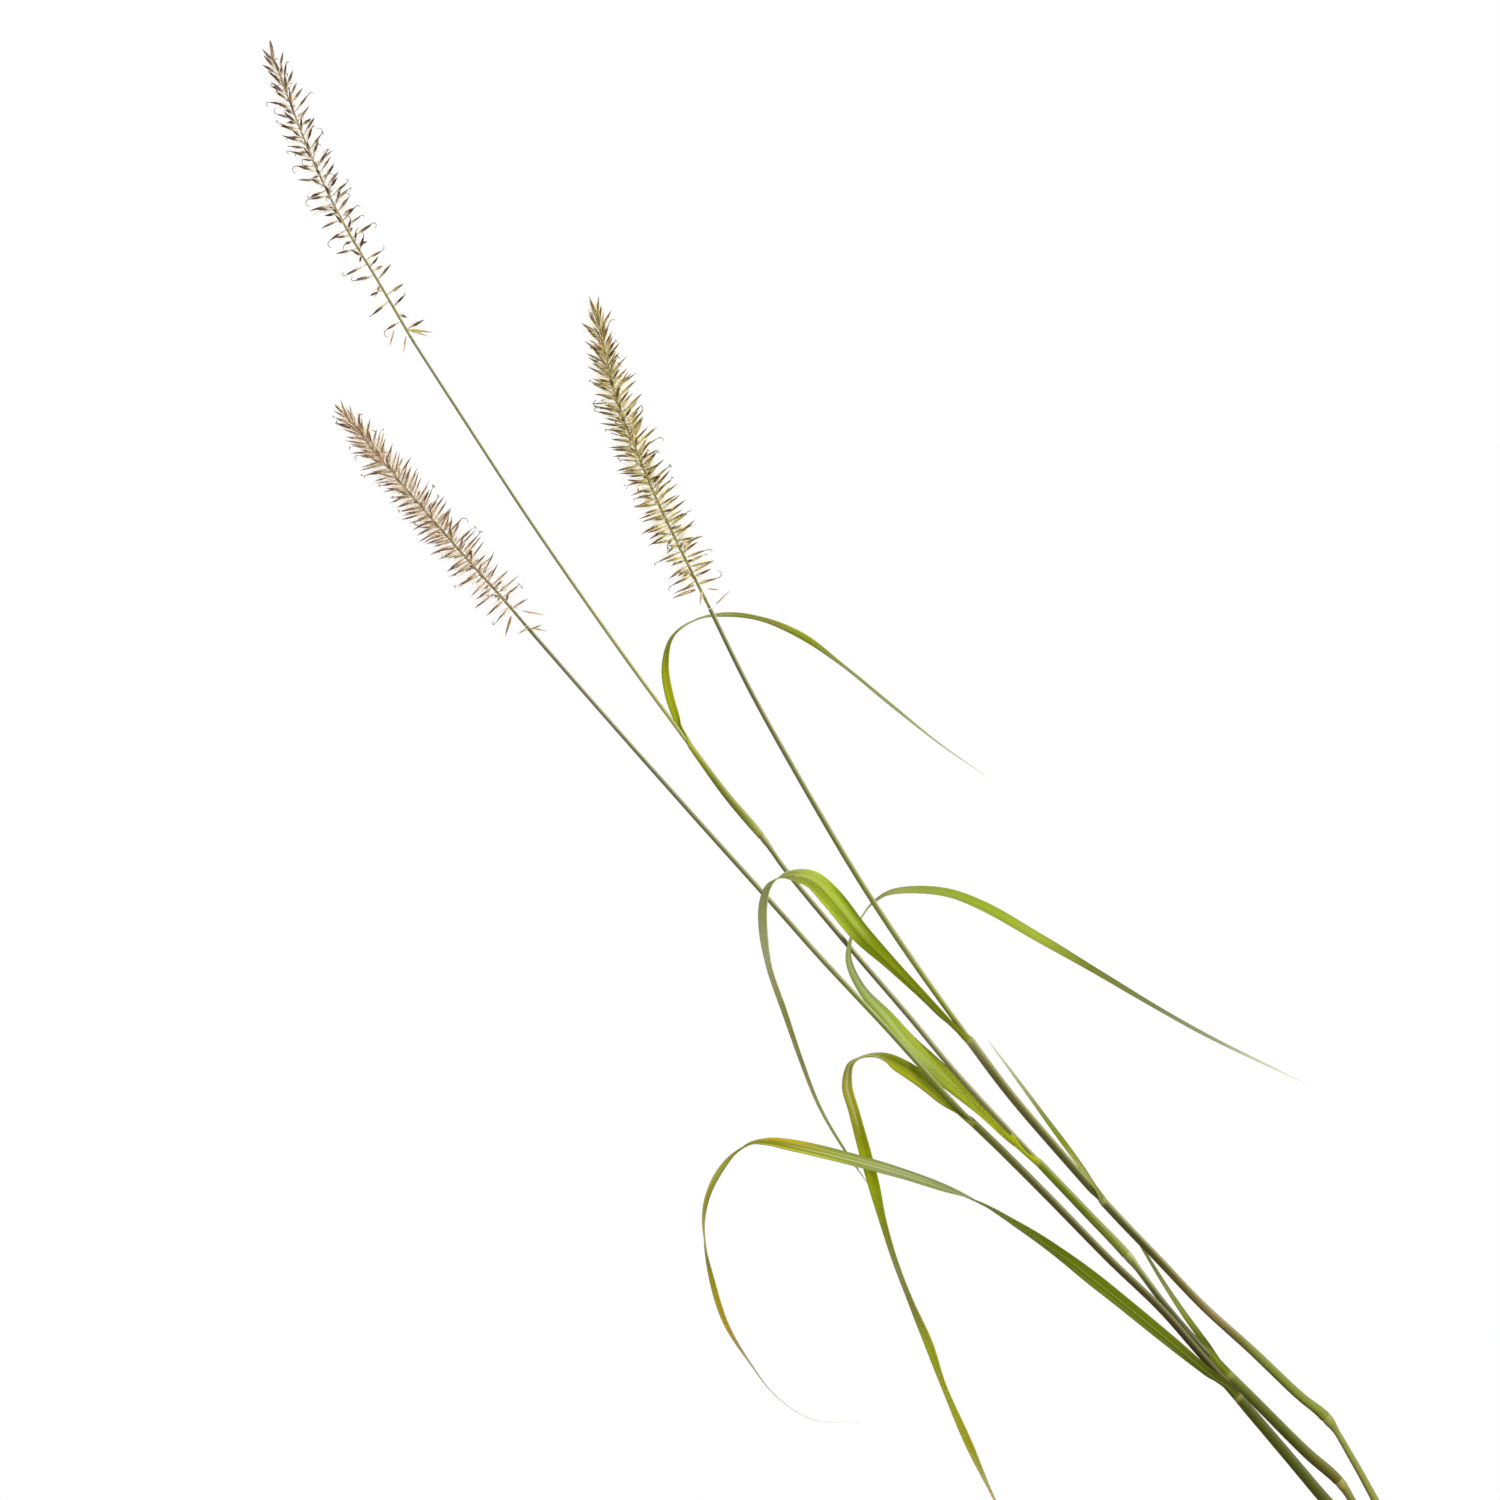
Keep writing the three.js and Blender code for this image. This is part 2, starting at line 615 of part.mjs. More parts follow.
function makeHead(name, spec) {
  const random = seededRandom(spec.seed);
  const curve = curveThrough(spec.path);
  const spread = (size) => (random() * 2 - 1) * size;
  const start = head.gapToCulm / curve.getLength();
  const rings = Array.from({ length: head.axisSteps + 1 }, (_, i) => {
    const share = between([start, head.axisShare], i / head.axisSteps);
    const frame = frameFor(curve.getTangentAt(share));
    return ringRound(curve.getPointAt(share), frame, between(head.axisRadii, share), head.axisSides);
  });
  const pieces = [solidOf(sweep(rings, fanCaps(head.axisSides)))];
  for (let i = 0; i < spec.count; i += 1) {
    const rank = (i + 0.5) / spec.count;
    const share = between([0.02, head.axisShare - 0.005], rank ** (1 / spec.thinning));
    const tangent = curve.getTangentAt(share);
    const { wide, front } = frameFor(tangent);
    const plainTilt = along(head.tilts, share / head.axisShare);
    const tilt = THREE.MathUtils.degToRad(plainTilt + spread(head.tiltSpread));
    const bearing = THREE.MathUtils.degToRad(i * spikelet.goldenAngle + spread(head.turnSpread));
    const direction = new THREE.Vector3()
      .addScaledVector(tangent, Math.cos(tilt))
      .addScaledVector(wide, Math.sin(tilt) * Math.cos(bearing))
      .addScaledVector(front, Math.sin(tilt) * Math.sin(bearing))
      .normalize();
    const length = along(head.lengths, share) + spread(head.lengthSpread);
    const turn = random() * Math.PI;
    pieces.push(solidOf(spikeletGeometry(curve.getPointAt(share), direction, length, turn)));
  }
  return meshOf(name, wasm.Manifold.union(pieces), colours.head, 0.8);
}

function shootFoot(bearing) {
  const angle = THREE.MathUtils.degToRad(bearing);
  return { x: shoots.ring * Math.cos(angle), y: shoots.ring * Math.sin(angle), radius: shoots.stubRadius };
}

// One arching blade in an upright plane, with its width level.
function shootBlade(root, bearing, random) {
  const angle = THREE.MathUtils.degToRad(bearing);
  const outward = new THREE.Vector3(Math.cos(angle), Math.sin(angle), 0);
  const across = new THREE.Vector3(-Math.sin(angle), Math.cos(angle), 0);
  const length = between(shoots.length, random());
  const width = between(shoots.width, random());
  const rise = between(shoots.firstRise, random());
  const dip = between(shoots.lastDip, random());
  const stations = [];
  const point = root.clone();
  for (let i = 0; i <= shoots.steps; i += 1) {
    const share = i / shoots.steps;
    const slope = THREE.MathUtils.degToRad(between([rise, dip], share));
    const tangent = outward.clone().multiplyScalar(Math.cos(slope)).setZ(Math.sin(slope));
    stations.push({
      point: point.clone(),
      across,
      up: tangent.clone().cross(across),
      width: width * along(shoots.widthShares, share),
    });
    point.addScaledVector(tangent, length / shoots.steps);
  }
  return ribbon(stations);
}

function makeShoot(name, bearing, random) {
  const foot = shootFoot(bearing);
  const outward = new THREE.Vector3(foot.x, foot.y, 0).normalize();
  const bottom = soil.top - soil.holeDepth + soil.gapToStem;
  const frame = { wide: new THREE.Vector3(1, 0, 0), front: new THREE.Vector3(0, 1, 0) };
  const centreAt = (height, share) => new THREE.Vector3(foot.x, foot.y, height)
    .addScaledVector(outward, shoots.stubLean * along(shoots.leanShares, share));
  const ringAt = (height, share) => {
    const radius = shoots.stubRadius * along(shoots.radiusShares, share);
    return ringRound(centreAt(height, share), frame, radius, stemSides);
  };
  const heightOf = (share) => soil.top + shoots.stubHeight * share;
  const rings = [ringAt(bottom, 0), ...shoots.leanShares.map(([share]) => ringAt(heightOf(share), share))];
  const pieces = [solidOf(sweep(rings, fanCaps(stemSides)))];
  shoots.blades.forEach(([turn, share]) => {
    const root = centreAt(heightOf(share), share);
    pieces.push(solidOf(shootBlade(root, bearing + turn, random)));
  });
  return meshOf(name, wasm.Manifold.union(pieces), colours.shoot, 0.5);
}

const plant = new THREE.Group();
plant.add(makePot());

const stems = [
  ...Object.values(culms).map(({ path, radii }) => ({ x: path[0][0], y: path[0][1], radius: radii[0][1] })),
  ...shoots.bearings.map(shootFoot),
];
plant.add(makeSoil(stems));

Object.keys(culms).forEach((key) => plant.add(makeCulm(key)));
Object.entries(heads).forEach(([key, spec]) => plant.add(makeHead(`head_${key}`, spec)));
Object.entries(leaves).forEach(([name, leaf]) => plant.add(makeLeaf(name, leaf)));

const shootRandom = seededRandom(shoots.seed);
shoots.bearings.forEach((bearing, i) => plant.add(makeShoot(`shoot_${i + 1}`, bearing, shootRandom)));

export default plant;
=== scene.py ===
import math

import bmesh
import bpy
import numpy as np
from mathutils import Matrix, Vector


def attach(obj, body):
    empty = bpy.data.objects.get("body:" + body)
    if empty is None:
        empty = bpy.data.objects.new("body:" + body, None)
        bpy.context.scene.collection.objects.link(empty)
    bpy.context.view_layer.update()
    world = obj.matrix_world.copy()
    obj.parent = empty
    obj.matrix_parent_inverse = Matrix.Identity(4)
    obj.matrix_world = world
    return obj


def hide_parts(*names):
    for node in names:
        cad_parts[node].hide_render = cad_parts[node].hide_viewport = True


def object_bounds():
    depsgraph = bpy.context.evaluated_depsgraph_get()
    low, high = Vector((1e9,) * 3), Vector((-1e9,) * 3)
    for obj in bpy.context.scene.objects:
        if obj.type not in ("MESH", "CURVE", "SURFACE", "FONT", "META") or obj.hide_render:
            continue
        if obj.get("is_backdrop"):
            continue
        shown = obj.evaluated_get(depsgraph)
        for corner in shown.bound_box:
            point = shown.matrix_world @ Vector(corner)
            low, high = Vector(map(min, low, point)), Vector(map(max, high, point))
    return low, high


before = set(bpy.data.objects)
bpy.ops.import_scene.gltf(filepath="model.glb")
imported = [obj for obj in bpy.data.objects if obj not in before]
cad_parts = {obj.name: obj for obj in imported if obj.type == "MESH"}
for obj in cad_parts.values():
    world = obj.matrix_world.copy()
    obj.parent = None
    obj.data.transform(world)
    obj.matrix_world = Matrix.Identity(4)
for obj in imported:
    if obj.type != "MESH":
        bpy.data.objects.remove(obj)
solidBox = [list(corner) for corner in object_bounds()]
print("solids loaded")

mm = 0.001  # the plant's lists are in millimetres


def paint(red, green, blue):
    # a colour as a screen shows it, 0 to 255, turned into the shader's numbers
    return [((c / 255 + 0.055) / 1.055) ** 2.4 for c in (red, green, blue)]


def ease(x):
    x = np.clip(x, 0, 1)
    return x * x * (3 - 2 * x)


def bump(x, middle, width):
    return np.exp(-((x - middle) / width) ** 2)


def blend(first, second, share):
    return np.array(first) * (1 - share) + np.array(second) * share


def roundAngles(sides):
    return np.linspace(0, 2 * math.pi, sides, False)


def putInScene(name, data, place=(0, 0, 0)):
    thing = bpy.data.objects.new(name, data)
    thing.location = place
    bpy.context.scene.collection.objects.link(thing)
    return thing


def addNode(tree, kind, inputs=(), **settings):
    # a shader node whose inputs are set from values or linked to other nodes' sockets
    node = tree.nodes.new(kind)
    for key, value in settings.items():
        setattr(node, key, value)
    for key, value in dict(inputs).items():
        if isinstance(value, bpy.types.NodeSocket):
            tree.links.new(value, node.inputs[key])
        else:
            node.inputs[key].default_value = value
    return node


def newFinish(name, roughness=0.5, gloss=0.5):
    finish = bpy.data.materials.new(name)
    finish.use_nodes = True
    shader = finish.node_tree.nodes["Principled BSDF"]
    shader.inputs["Roughness"].default_value = roughness
    shader.inputs["Specular IOR Level"].default_value = gloss
    return finish, finish.node_tree, shader


def mixShaders(tree, share, first, second):
    mixed = addNode(tree, "ShaderNodeMixShader", {0: share, 1: first.outputs[0], 2: second.outputs[0]})
    tree.links.new(mixed.outputs[0], tree.nodes["Material Output"].inputs["Surface"])


# the camera, the light and the floor

camera = {"place": (-0.32415, -1.91667, 0.6463), "lens": 100, "sensor": 36, "reach": 50}

studio = {
    "sky": 0.34, "skyTone": (1.0, 0.99, 0.95), "lampTone": (1.0, 0.96, 0.88),
    "lamps": {
        "keyLamp": {"place": (1.25, -1.6, 2.0), "aim": (-0.25, 0, 0.6), "size": 0.8, "watts": 95},
        "frontLamp": {"place": (-0.3, -2.6, 1.4), "aim": (-0.25, 0, 0.55), "size": 1.2, "watts": 54},
        "backLamp": {"place": (0.3, 2.0, 1.6), "aim": (-0.2, 0, 0.5), "size": 1.2, "watts": 26},
    },
    "floorRadius": 1.6, "floorPlain": 0.7, "floorGone": 1.552, "floorSides": 96,
    "floorTone": paint(244, 243, 240), "floorRoughness": 0.8,
}


def aimAt(thing, target):
    away = np.array(target, float) - np.array(thing.location, float)
    flat = math.hypot(away[0], away[1])
    thing.rotation_euler = (math.atan2(flat, -away[2]), 0, math.atan2(-away[0], away[1]))


def makeCamera():
    data = bpy.data.cameras.new("plantCamera")
    data.lens = camera["lens"]
    data.sensor_width = camera["sensor"]
    data.clip_end = camera["reach"]
    stand = putInScene("plantCamera", data, camera["place"])
    stand.rotation_euler = (math.pi / 2, 0, 0)
    bpy.context.scene.camera = stand


def makeLight():
    for name, lamp in studio["lamps"].items():
        data = bpy.data.lights.new(name, "AREA")
        data.size = lamp["size"]
        data.energy = lamp["watts"]
        data.color = studio["lampTone"]
        aimAt(putInScene(name, data, lamp["place"]), lamp["aim"])
    world = bpy.data.worlds.new("paleRoom")
    bpy.context.scene.world = world
    world.use_nodes = True
    tree = world.node_tree
    tree.nodes.clear()
    rays = addNode(tree, "ShaderNodeLightPath")
    sky = (*studio["skyTone"], 1)
    soft = addNode(tree, "ShaderNodeBackground", {"Color": sky, "Strength": studio["sky"]}).outputs[0]
    seen = addNode(tree, "ShaderNodeBackground", {"Color": (1, 1, 1, 1), "Strength": 1.0}).outputs[0]
    mixed = addNode(tree, "ShaderNodeMixShader", {0: rays.outputs["Is Camera Ray"], 1: soft, 2: seen})
    addNode(tree, "ShaderNodeOutputWorld", {0: mixed.outputs[0]})
    bpy.context.scene.view_settings.view_transform = "Standard"


def makeFloor():
    radius, sides = studio["floorRadius"], studio["floorSides"]
    mesh = bpy.data.meshes.new("floor")
    rim = [(radius * math.cos(a), radius * math.sin(a), 0) for a in roundAngles(sides)]
    mesh.from_pydata(rim, [], [list(range(sides))])
    finish, tree, shader = newFinish("paleFloor", studio["floorRoughness"])
    shader.inputs["Base Color"].default_value = (*studio["floorTone"], 1)
    # the floor thins out towards its rim, so no edge shows against the pale room
    place = addNode(tree, "ShaderNodeTexCoord").outputs["Object"]
    reach = addNode(tree, "ShaderNodeVectorMath", {0: place}, operation="LENGTH").outputs["Value"]
    fade = addNode(tree, "ShaderNodeMapRange", {
        "Value": reach, "From Min": studio["floorPlain"], "From Max": studio["floorGone"],
    }, interpolation_type="SMOOTHSTEP")
    mixShaders(tree, fade.outputs[0], shader, addNode(tree, "ShaderNodeBsdfTransparent"))
    mesh.materials.append(finish)
    putInScene("floor", mesh)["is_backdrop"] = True


makeCamera()
makeLight()
makeFloor()
print("camera, light and floor ready")


# paths, tubes and pieces

def bend(points, shares):
    # the places and directions along a smooth path that goes through every point
    points = np.asarray(points, float)
    last = len(points) - 1
    padded = np.vstack([2 * points[0] - points[1], points, 2 * points[last] - points[last - 1]])
    places, headings = [], []
    for share in shares:
        span = min(int(share * last), last - 1)
        w = share * last - span
        p0, p1, p2, p3 = padded[span:span + 4]
        gaps = [float(np.dot(b - a, b - a)) for a, b in ((p0, p1), (p1, p2), (p2, p3))]
        d0, d1, d2 = [max(gap, 1e-12) ** 0.25 for gap in gaps]
        t1 = ((p1 - p0) / d0 - (p2 - p0) / (d0 + d1) + (p2 - p1) / d1) * d1
        t2 = ((p2 - p1) / d1 - (p3 - p1) / (d1 + d2) + (p3 - p2) / d2) * d1
        c2 = -3 * p1 + 3 * p2 - 2 * t1 - t2
        c3 = 2 * p1 - 2 * p2 + t1 + t2
        places.append(p1 + t1 * w + c2 * w ** 2 + c3 * w ** 3)
        headings.append(t1 + 2 * c2 * w + 3 * c3 * w ** 2)
    headings = np.array(headings)
    return np.array(places), headings / np.linalg.norm(headings, axis=1, keepdims=True)


def lengthsAlong(places):
    return np.concatenate([[0], np.cumsum(np.linalg.norm(np.diff(places, axis=0), axis=1))])


def squareTo(headings):
    # two directions square to a path: one shows its width to the front, the other points to the front
    wide = np.cross([0.0, 1.0, 0.0], headings)
    wide /= np.linalg.norm(wide, axis=-1, keepdims=True)
    front = np.cross(wide, headings)
    return wide, front / np.linalg.norm(front, axis=-1, keepdims=True)


def turnPair(wide, front, angle):
    # the same two directions, turned about the path
    return wide * math.cos(angle) + front * math.sin(angle), front * math.cos(angle) - wide * math.sin(angle)


def smoothValues(values, shares):
    # a smooth line through evenly spaced values
    values = np.asarray(values, float)
    slopes = np.gradient(values)
    place = np.asarray(shares) * (len(values) - 1)
    i = np.minimum(place.astype(int), len(values) - 2)
    w = place - i
    h1, h2 = 2 * w ** 3 - 3 * w ** 2 + 1, w ** 3 - 2 * w ** 2 + w
    h3, h4 = -2 * w ** 3 + 3 * w ** 2, w ** 3 - w ** 2
    return h1 * values[i] + h2 * slopes[i] + h3 * values[i + 1] + h4 * slopes[i + 1]


def blendTones(stops, at):
    # the colour at each place of a list of (place, colour) stops
    tones = np.array([paint(*tone) for _, tone in stops])
    return np.stack([np.interp(at, [place for place, _ in stops], tones[:, k]) for k in range(3)], -1)


def newWork():
    # a piece in the making: its points and faces, and a number for each face's finish
    return {"points": [], "quads": [], "tris": [], "tint": [], "grain": [], "kind": [[], []], "count": 0}


def addPart(work, points, quads, tris, tint, grain, kind=0):
    # faces turn outward; tint is each point's colour, grain its place (across, along, chance) for textures
    points = np.asarray(points, float).reshape(-1, 3)
    quads = np.asarray(quads, int).reshape(-1, 4)
    tris = np.asarray(tris, int).reshape(-1, 3)
    fans = np.vstack([tris, quads[:, [0, 1, 2]], quads[:, [0, 2, 3]]])
    a, b, c = points[fans[:, 0]], points[fans[:, 1]], points[fans[:, 2]]
    middle = points.mean(0)
    if np.einsum("ij,ij->", a - middle, np.cross(b - middle, c - middle)) < 0:
        quads, tris = quads[:, ::-1], tris[:, ::-1]
    work["points"].append(points)
    work["quads"].append(quads + work["count"])
    work["tris"].append(tris + work["count"])
    work["tint"].append(np.broadcast_to(np.reshape(tint, (-1, 3)), points.shape))
    work["grain"].append(np.broadcast_to(np.reshape(grain, (-1, 3)), points.shape))
    work["kind"][0].append(np.full(len(quads), kind))
    work["kind"][1].append(np.full(len(tris), kind))
    work["count"] += len(points)


def tubeFaces(rings, sides):
    ids = np.arange(rings * sides).reshape(rings, sides)
    turned = np.roll(ids, -1, 1)
    quads = np.stack([ids[:-1], turned[:-1], turned[1:], ids[1:]], -1).reshape(-1, 4)
    caps = [[row[0], row[i], row[i + 1]] for row in (ids[0][::-1], ids[-1]) for i in range(1, sides - 1)]
    return quads, np.array(caps)


def addTube(work, centres, wide, front, radii, angles, tint, grain, kind=0, flat=1.0):
    # a closed tube round a path: radii and tint are for each ring, or for each point of each ring
    cosines, sines = np.cos(angles)[:, None], flat * np.sin(angles)[:, None]
    rings = centres[:, None] + radii[..., None] * (cosines * wide[:, None] + sines * front[:, None])
    girth, along, chance = grain
    grain = np.stack(np.broadcast_arrays(angles * girth, along, chance, rings[..., 0])[:3], -1)
    quads, caps = tubeFaces(len(centres), len(angles))
    addPart(work, rings, quads, caps, np.broadcast_to(tint, rings.shape), grain, kind)


def takePlace(piece, node):
    # the piece stands where one of the solids stood
    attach(piece, "root")
    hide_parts(node)


def finishPiece(name, work, finishes, node):
    quads, tris = np.vstack(work["quads"]).tolist(), np.vstack(work["tris"]).tolist()
    mesh = bpy.data.meshes.new(name)
    mesh.from_pydata((np.vstack(work["points"]) * mm).tolist(), [], quads + tris)
    kinds = np.concatenate(work["kind"][0] + work["kind"][1]).astype(int)
    mesh.polygons.foreach_set("material_index", kinds)
    tint = np.insert(np.vstack(work["tint"]), 3, 1, axis=1)
    mesh.attributes.new("tint", "FLOAT_COLOR", "POINT").data.foreach_set("color", tint.ravel())
    grain = np.vstack(work["grain"])
    mesh.attributes.new("grain", "FLOAT_VECTOR", "POINT").data.foreach_set("vector", grain.ravel())
    mesh.shade_smooth()
    for finish in finishes:
        mesh.materials.append(finish)
    takePlace(putInScene(name, mesh), node)
    print(f"{name}: {len(quads) * 2 + len(tris)} triangles")


# finishes of the living parts

def noise(tree, place, scale, detail=2.0, roughness=0.5):
    return addNode(tree, "ShaderNodeTexNoise", {
        "Vector": place, "Scale": scale, "Detail": detail, "Roughness": roughness,
    }).outputs["Fac"]


def stretched(tree, place, scale, detail, roughness=0.5):
    # a noise with a scale of its own each way
    drawn = addNode(tree, "ShaderNodeMapping", {"Vector": place, "Scale": scale})
    return noise(tree, drawn.outputs[0], 1.0, detail, roughness)


def ranged(tree, value, low, high, fromLow=0.3, fromHigh=0.7):
    return addNode(tree, "ShaderNodeMapRange", {
        "Value": value, "From Min": fromLow, "From Max": fromHigh, "To Min": low, "To Max": high,
    }).outputs[0]


def mixTones(tree, kind, factor, first, second):
    return addNode(
        tree, "ShaderNodeMix", {0: factor, 6: first, 7: second}, data_type="RGBA", blend_type=kind,
    ).outputs[2]


sheen = (1.0, 0.96, 0.6, 1)  # the warm tint of the highlights on living parts


def grownFinish(name, streaks, blotch, roughness, relief, glow=0.0, gloss=0.25):
    # a tinted skin with fine lengthwise streaks, soft blotches and ribs that catch the light
    finish, tree, shader = newFinish(name, gloss=gloss)
    tint = addNode(tree, "ShaderNodeAttribute", attribute_name="tint").outputs["Color"]
    grain = addNode(tree, "ShaderNodeAttribute", attribute_name="grain").outputs["Vector"]
    ribs = stretched(tree, grain, streaks["scale"], 3.0, 0.6)
    clouds = stretched(tree, grain, blotch["scale"], 3.0)
    warm = ranged(tree, clouds, 0.0, blotch["depth"])
    toned = mixTones(tree, "MIX", warm, tint, (*blotch["tone"], 1))
    shade = ranged(tree, ribs, 1 - streaks["depth"], 1 + streaks["depth"])
    lined = addNode(tree, "ShaderNodeVectorMath", {0: toned, "Scale": shade}, operation="SCALE").outputs[0]
    tree.links.new(lined, shader.inputs["Base Color"])
    tree.links.new(ranged(tree, ribs, roughness - 0.08, roughness + 0.12), shader.inputs["Roughness"])
    shader.inputs["Specular Tint"].default_value = sheen
    raised = addNode(tree, "ShaderNodeBump", {"Height": ribs, "Strength": relief, "Distance": 0.0003})
    tree.links.new(raised.outputs[0], shader.inputs["Normal"])
    if glow:
        mixShaders(tree, glow, shader, addNode(tree, "ShaderNodeBsdfTranslucent", {"Color": lined}))
    return finish


culmSkin = grownFinish(
    "culmSkin", {"scale": (2.2, 0.03, 1), "depth": 0.14},
    {"scale": (0.3, 0.05, 1), "depth": 0.3, "tone": paint(84, 80, 40)}, 0.42, 0.25, gloss=0.3,
)
bladeSkin = grownFinish(
    "bladeSkin", {"scale": (1.6, 0.008, 1), "depth": 0.1},
    {"scale": (0.25, 0.012, 1), "depth": 0.2, "tone": paint(122, 132, 12)}, 0.55, 0.2, glow=0.25, gloss=0.08,
)
huskSkin = grownFinish(
    "huskSkin", {"scale": (4.0, 0.4, 1), "depth": 0.25},
    {"scale": (1.2, 0.4, 1), "depth": 0.3, "tone": paint(84, 58, 40)}, 0.6, 0.2, gloss=0.1,
)
bristleHair = grownFinish(
    "bristleHair", {"scale": (2.0, 0.4, 1), "depth": 0.1},
    {"scale": (1.0, 0.3, 1), "depth": 0.25, "tone": paint(250, 234, 210)}, 0.5, 0.1, glow=0.5, gloss=0.05,
)
antherSkin = grownFinish(
    "antherSkin", {"scale": (6.0, 1.0, 1), "depth": 0.25},
    {"scale": (2.0, 2.0, 1), "depth": 0.5, "tone": paint(74, 62, 66)}, 0.6, 0.3,
)


# the culms

# groove, lip, pale and line: how far over a node (under it, if less than 0), how wide, how strong
culmLook = {
    "sides": 20, "step": 3.0, "closeStep": 0.75, "closeReach": 9, "nodeHalfLength": 7,
    "ribCount": 5, "ribs": 0.03, "girth": 1.3, "groove": (-3.4, 0.8, -0.1), "lip": (-1.6, 1.0, 0.06),
    "pale": (0, 3.0, 0.12), "paleTone": paint(150, 158, 84),
    # the turn, colour, heights and strengths after the node line give the painted highlight on the stems'
    # side that faces the light; the last heights and strengths give the painted shade on the side away from
    # it
    "line": (-3.4, 0.7, 0.35), "lineTone": paint(66, 64, 32), "paintedLightTurn": 0.2,
    "paintedHighlightTone": paint(188, 190, 146), "paintedHighlightHeights": (345, 420), "paintedHighlightStrengths": (0.14, 0.46),
    "paintedShadeHeights": (400, 480), "paintedShadeStrengths": (0.4, 0.58, 0.45),
}

# path: places on the middle line; radii and tones: by height; nodes: height and radius
culms = {
    "a": {
        "path": [
            [0, 9, 117.5], [0, 9, 168], [0, 9, 189], [-6, 9, 208], [-18, 8, 235], [-31, 6, 267],
            [-44, 3, 295], [-52.5, 2, 309], [-68, 1, 323], [-95, 0, 350], [-115, 0, 370], [-132.5, 2, 390],
            [-150, 4, 413], [-169, 7, 433], [-190, 10, 455], [-229, 15, 497], [-249, 17, 521],
            [-279, 20, 556], [-308, 25, 591], [-318, 28, 605], [-335, 33, 625], [-352, 38, 648],
            [-384.5, 50, 692], [-426.5, 62, 752], [-462, 72, 806], [-486, 78, 843],
        ],
        "radii": [
            (110, 2.2), (290, 1.9), (330, 1.6), (405, 1.5), (425, 1.25), (556, 1.22), (612, 1.1),
            (645, 0.9), (692, 0.85), (740, 0.74), (850, 0.7),
        ],
        "nodes": [(309, 2.3), (413, 2.1), (605, 1.5)],
        "tones": [
            (115, (140, 124, 80)), (200, (88, 94, 40)), (298, (72, 80, 24)), (309, (110, 104, 48)),
            # the dark stretch from 355 to 400 is painted shade, where leaf 6's blade shades the culm
            (320, (66, 72, 22)), (355, (60, 70, 20)), (368, (36, 40, 16)), (384, (44, 52, 20)),
            (400, (54, 62, 24)), (413, (82, 94, 38)), (430, (84, 94, 40)), (455, (84, 90, 38)),
            (475, (82, 84, 56)), (520, (84, 86, 60)), (560, (78, 82, 52)), (600, (74, 78, 50)),
            (612, (86, 90, 48)), (650, (122, 128, 64)), (700, (108, 114, 74)), (760, (90, 94, 68)),
            (850, (92, 94, 78)),
        ],
    },
    "b": {
        "path": [
            [9, 6, 117.5], [9, 6, 168], [9, 6, 189], [5, 6, 207], [-4, 5, 235], [-17, 3, 268],
            [-35, 1, 298.5], [-47, -1, 320], [-59, -2, 339], [-72, -3, 350], [-94, -6, 371],
            [-117, -9, 392], [-138, -12, 414], [-159, -15, 436], [-179.5, -18, 459], [-206, -22, 490],
            [-224, -25, 514], [-253, -31, 554.5], [-275, -35, 588], [-300.5, -41, 631], [-324.5, -47, 674],
            [-342, -50, 709.5],
        ],
        "radii": [
            (110, 2.3), (300, 1.75), (345, 1.3), (400, 1.0), (450, 1.15), (560, 1.3), (631, 1.18),
            (690, 1.0), (720, 0.95),
        ],
        "nodes": [(339, 2.4)],
        "tones": [
            (115, (140, 124, 80)), (220, (100, 108, 46)), (300, (104, 112, 40)), (339, (98, 108, 42)),
            (360, (108, 124, 44)), (376, (112, 110, 60)), (384, (116, 98, 60)), (402, (110, 94, 50)),
            (420, (56, 54, 22)), (450, (66, 66, 34)), (480, (66, 66, 38)), (510, (78, 82, 36)),
            (530, (90, 100, 28)), (570, (82, 92, 36)), (610, (76, 84, 44)), (650, (72, 78, 52)),
            (690, (64, 68, 52)), (712, (78, 80, 48)),
        ],
    },
    "c": {
        "path": [
            [-10, -8, 117.5], [-10, -8, 168], [-10, -8, 189], [-14, -8, 208], [-22, -9, 238.5],
            [-38, -11, 273], [-52, -12, 293], [-65, -13, 308], [-78, -14, 323.5], [-101, -14, 350.5],
            [-118.5, -13, 370.5], [-136.5, -12, 391], [-159, -10, 412.5], [-187, -8, 441], [-208, -7, 462],
            [-228, -5, 481.5], [-262, -3, 519], [-291, -1, 550], [-311, 0, 572.5], [-351.5, 3, 617.5],
            [-392, 7, 663], [-427.5, 10, 703.5],
        ],
        "radii": [
            (110, 2.4), (262, 2.1), (290, 1.8), (345, 1.6), (362, 1.0), (480, 1.1), (550, 1.22),
            (617, 1.06), (660, 0.9), (710, 0.85),
        ],
        "nodes": [(272, 2.7)],
        "tones": [
            # from 300 to 470 the culm is dark: partly its own dusky purple-brown, partly painted shade
            (115, (136, 120, 76)), (220, (76, 82, 36)), (300, (54, 62, 22)), (355, (46, 42, 22)),
            (375, (46, 40, 26)), (400, (54, 44, 34)), (430, (48, 42, 28)), (470, (54, 56, 28)),
            (486, (84, 98, 26)), (530, (82, 98, 28)), (548, (84, 90, 50)), (590, (72, 78, 52)),
            (640, (74, 76, 62)), (690, (84, 84, 72)), (708, (90, 86, 64)),
        ],
    },
}


def culmRadius(culm, heights):
    plain = np.interp(heights, *zip(*culm["radii"]))
    radius = plain.copy()
    for nodeHeight, nodeRadius in culm["nodes"]:
        away = (heights - nodeHeight) / culmLook["nodeHalfLength"]
        swell = np.maximum(0, 1 - away ** 2) ** 2
        radius = np.maximum(radius, plain + (nodeRadius - plain) * swell)
    return radius


def onCulm(culm, heights):
    # a culm climbs all the way, so a height names one place on it
    shares = np.linspace(0, 1, 1600)
    places, _ = bend(culm["path"], shares)
    return bend(culm["path"], np.interp(heights, places[:, 2], shares))


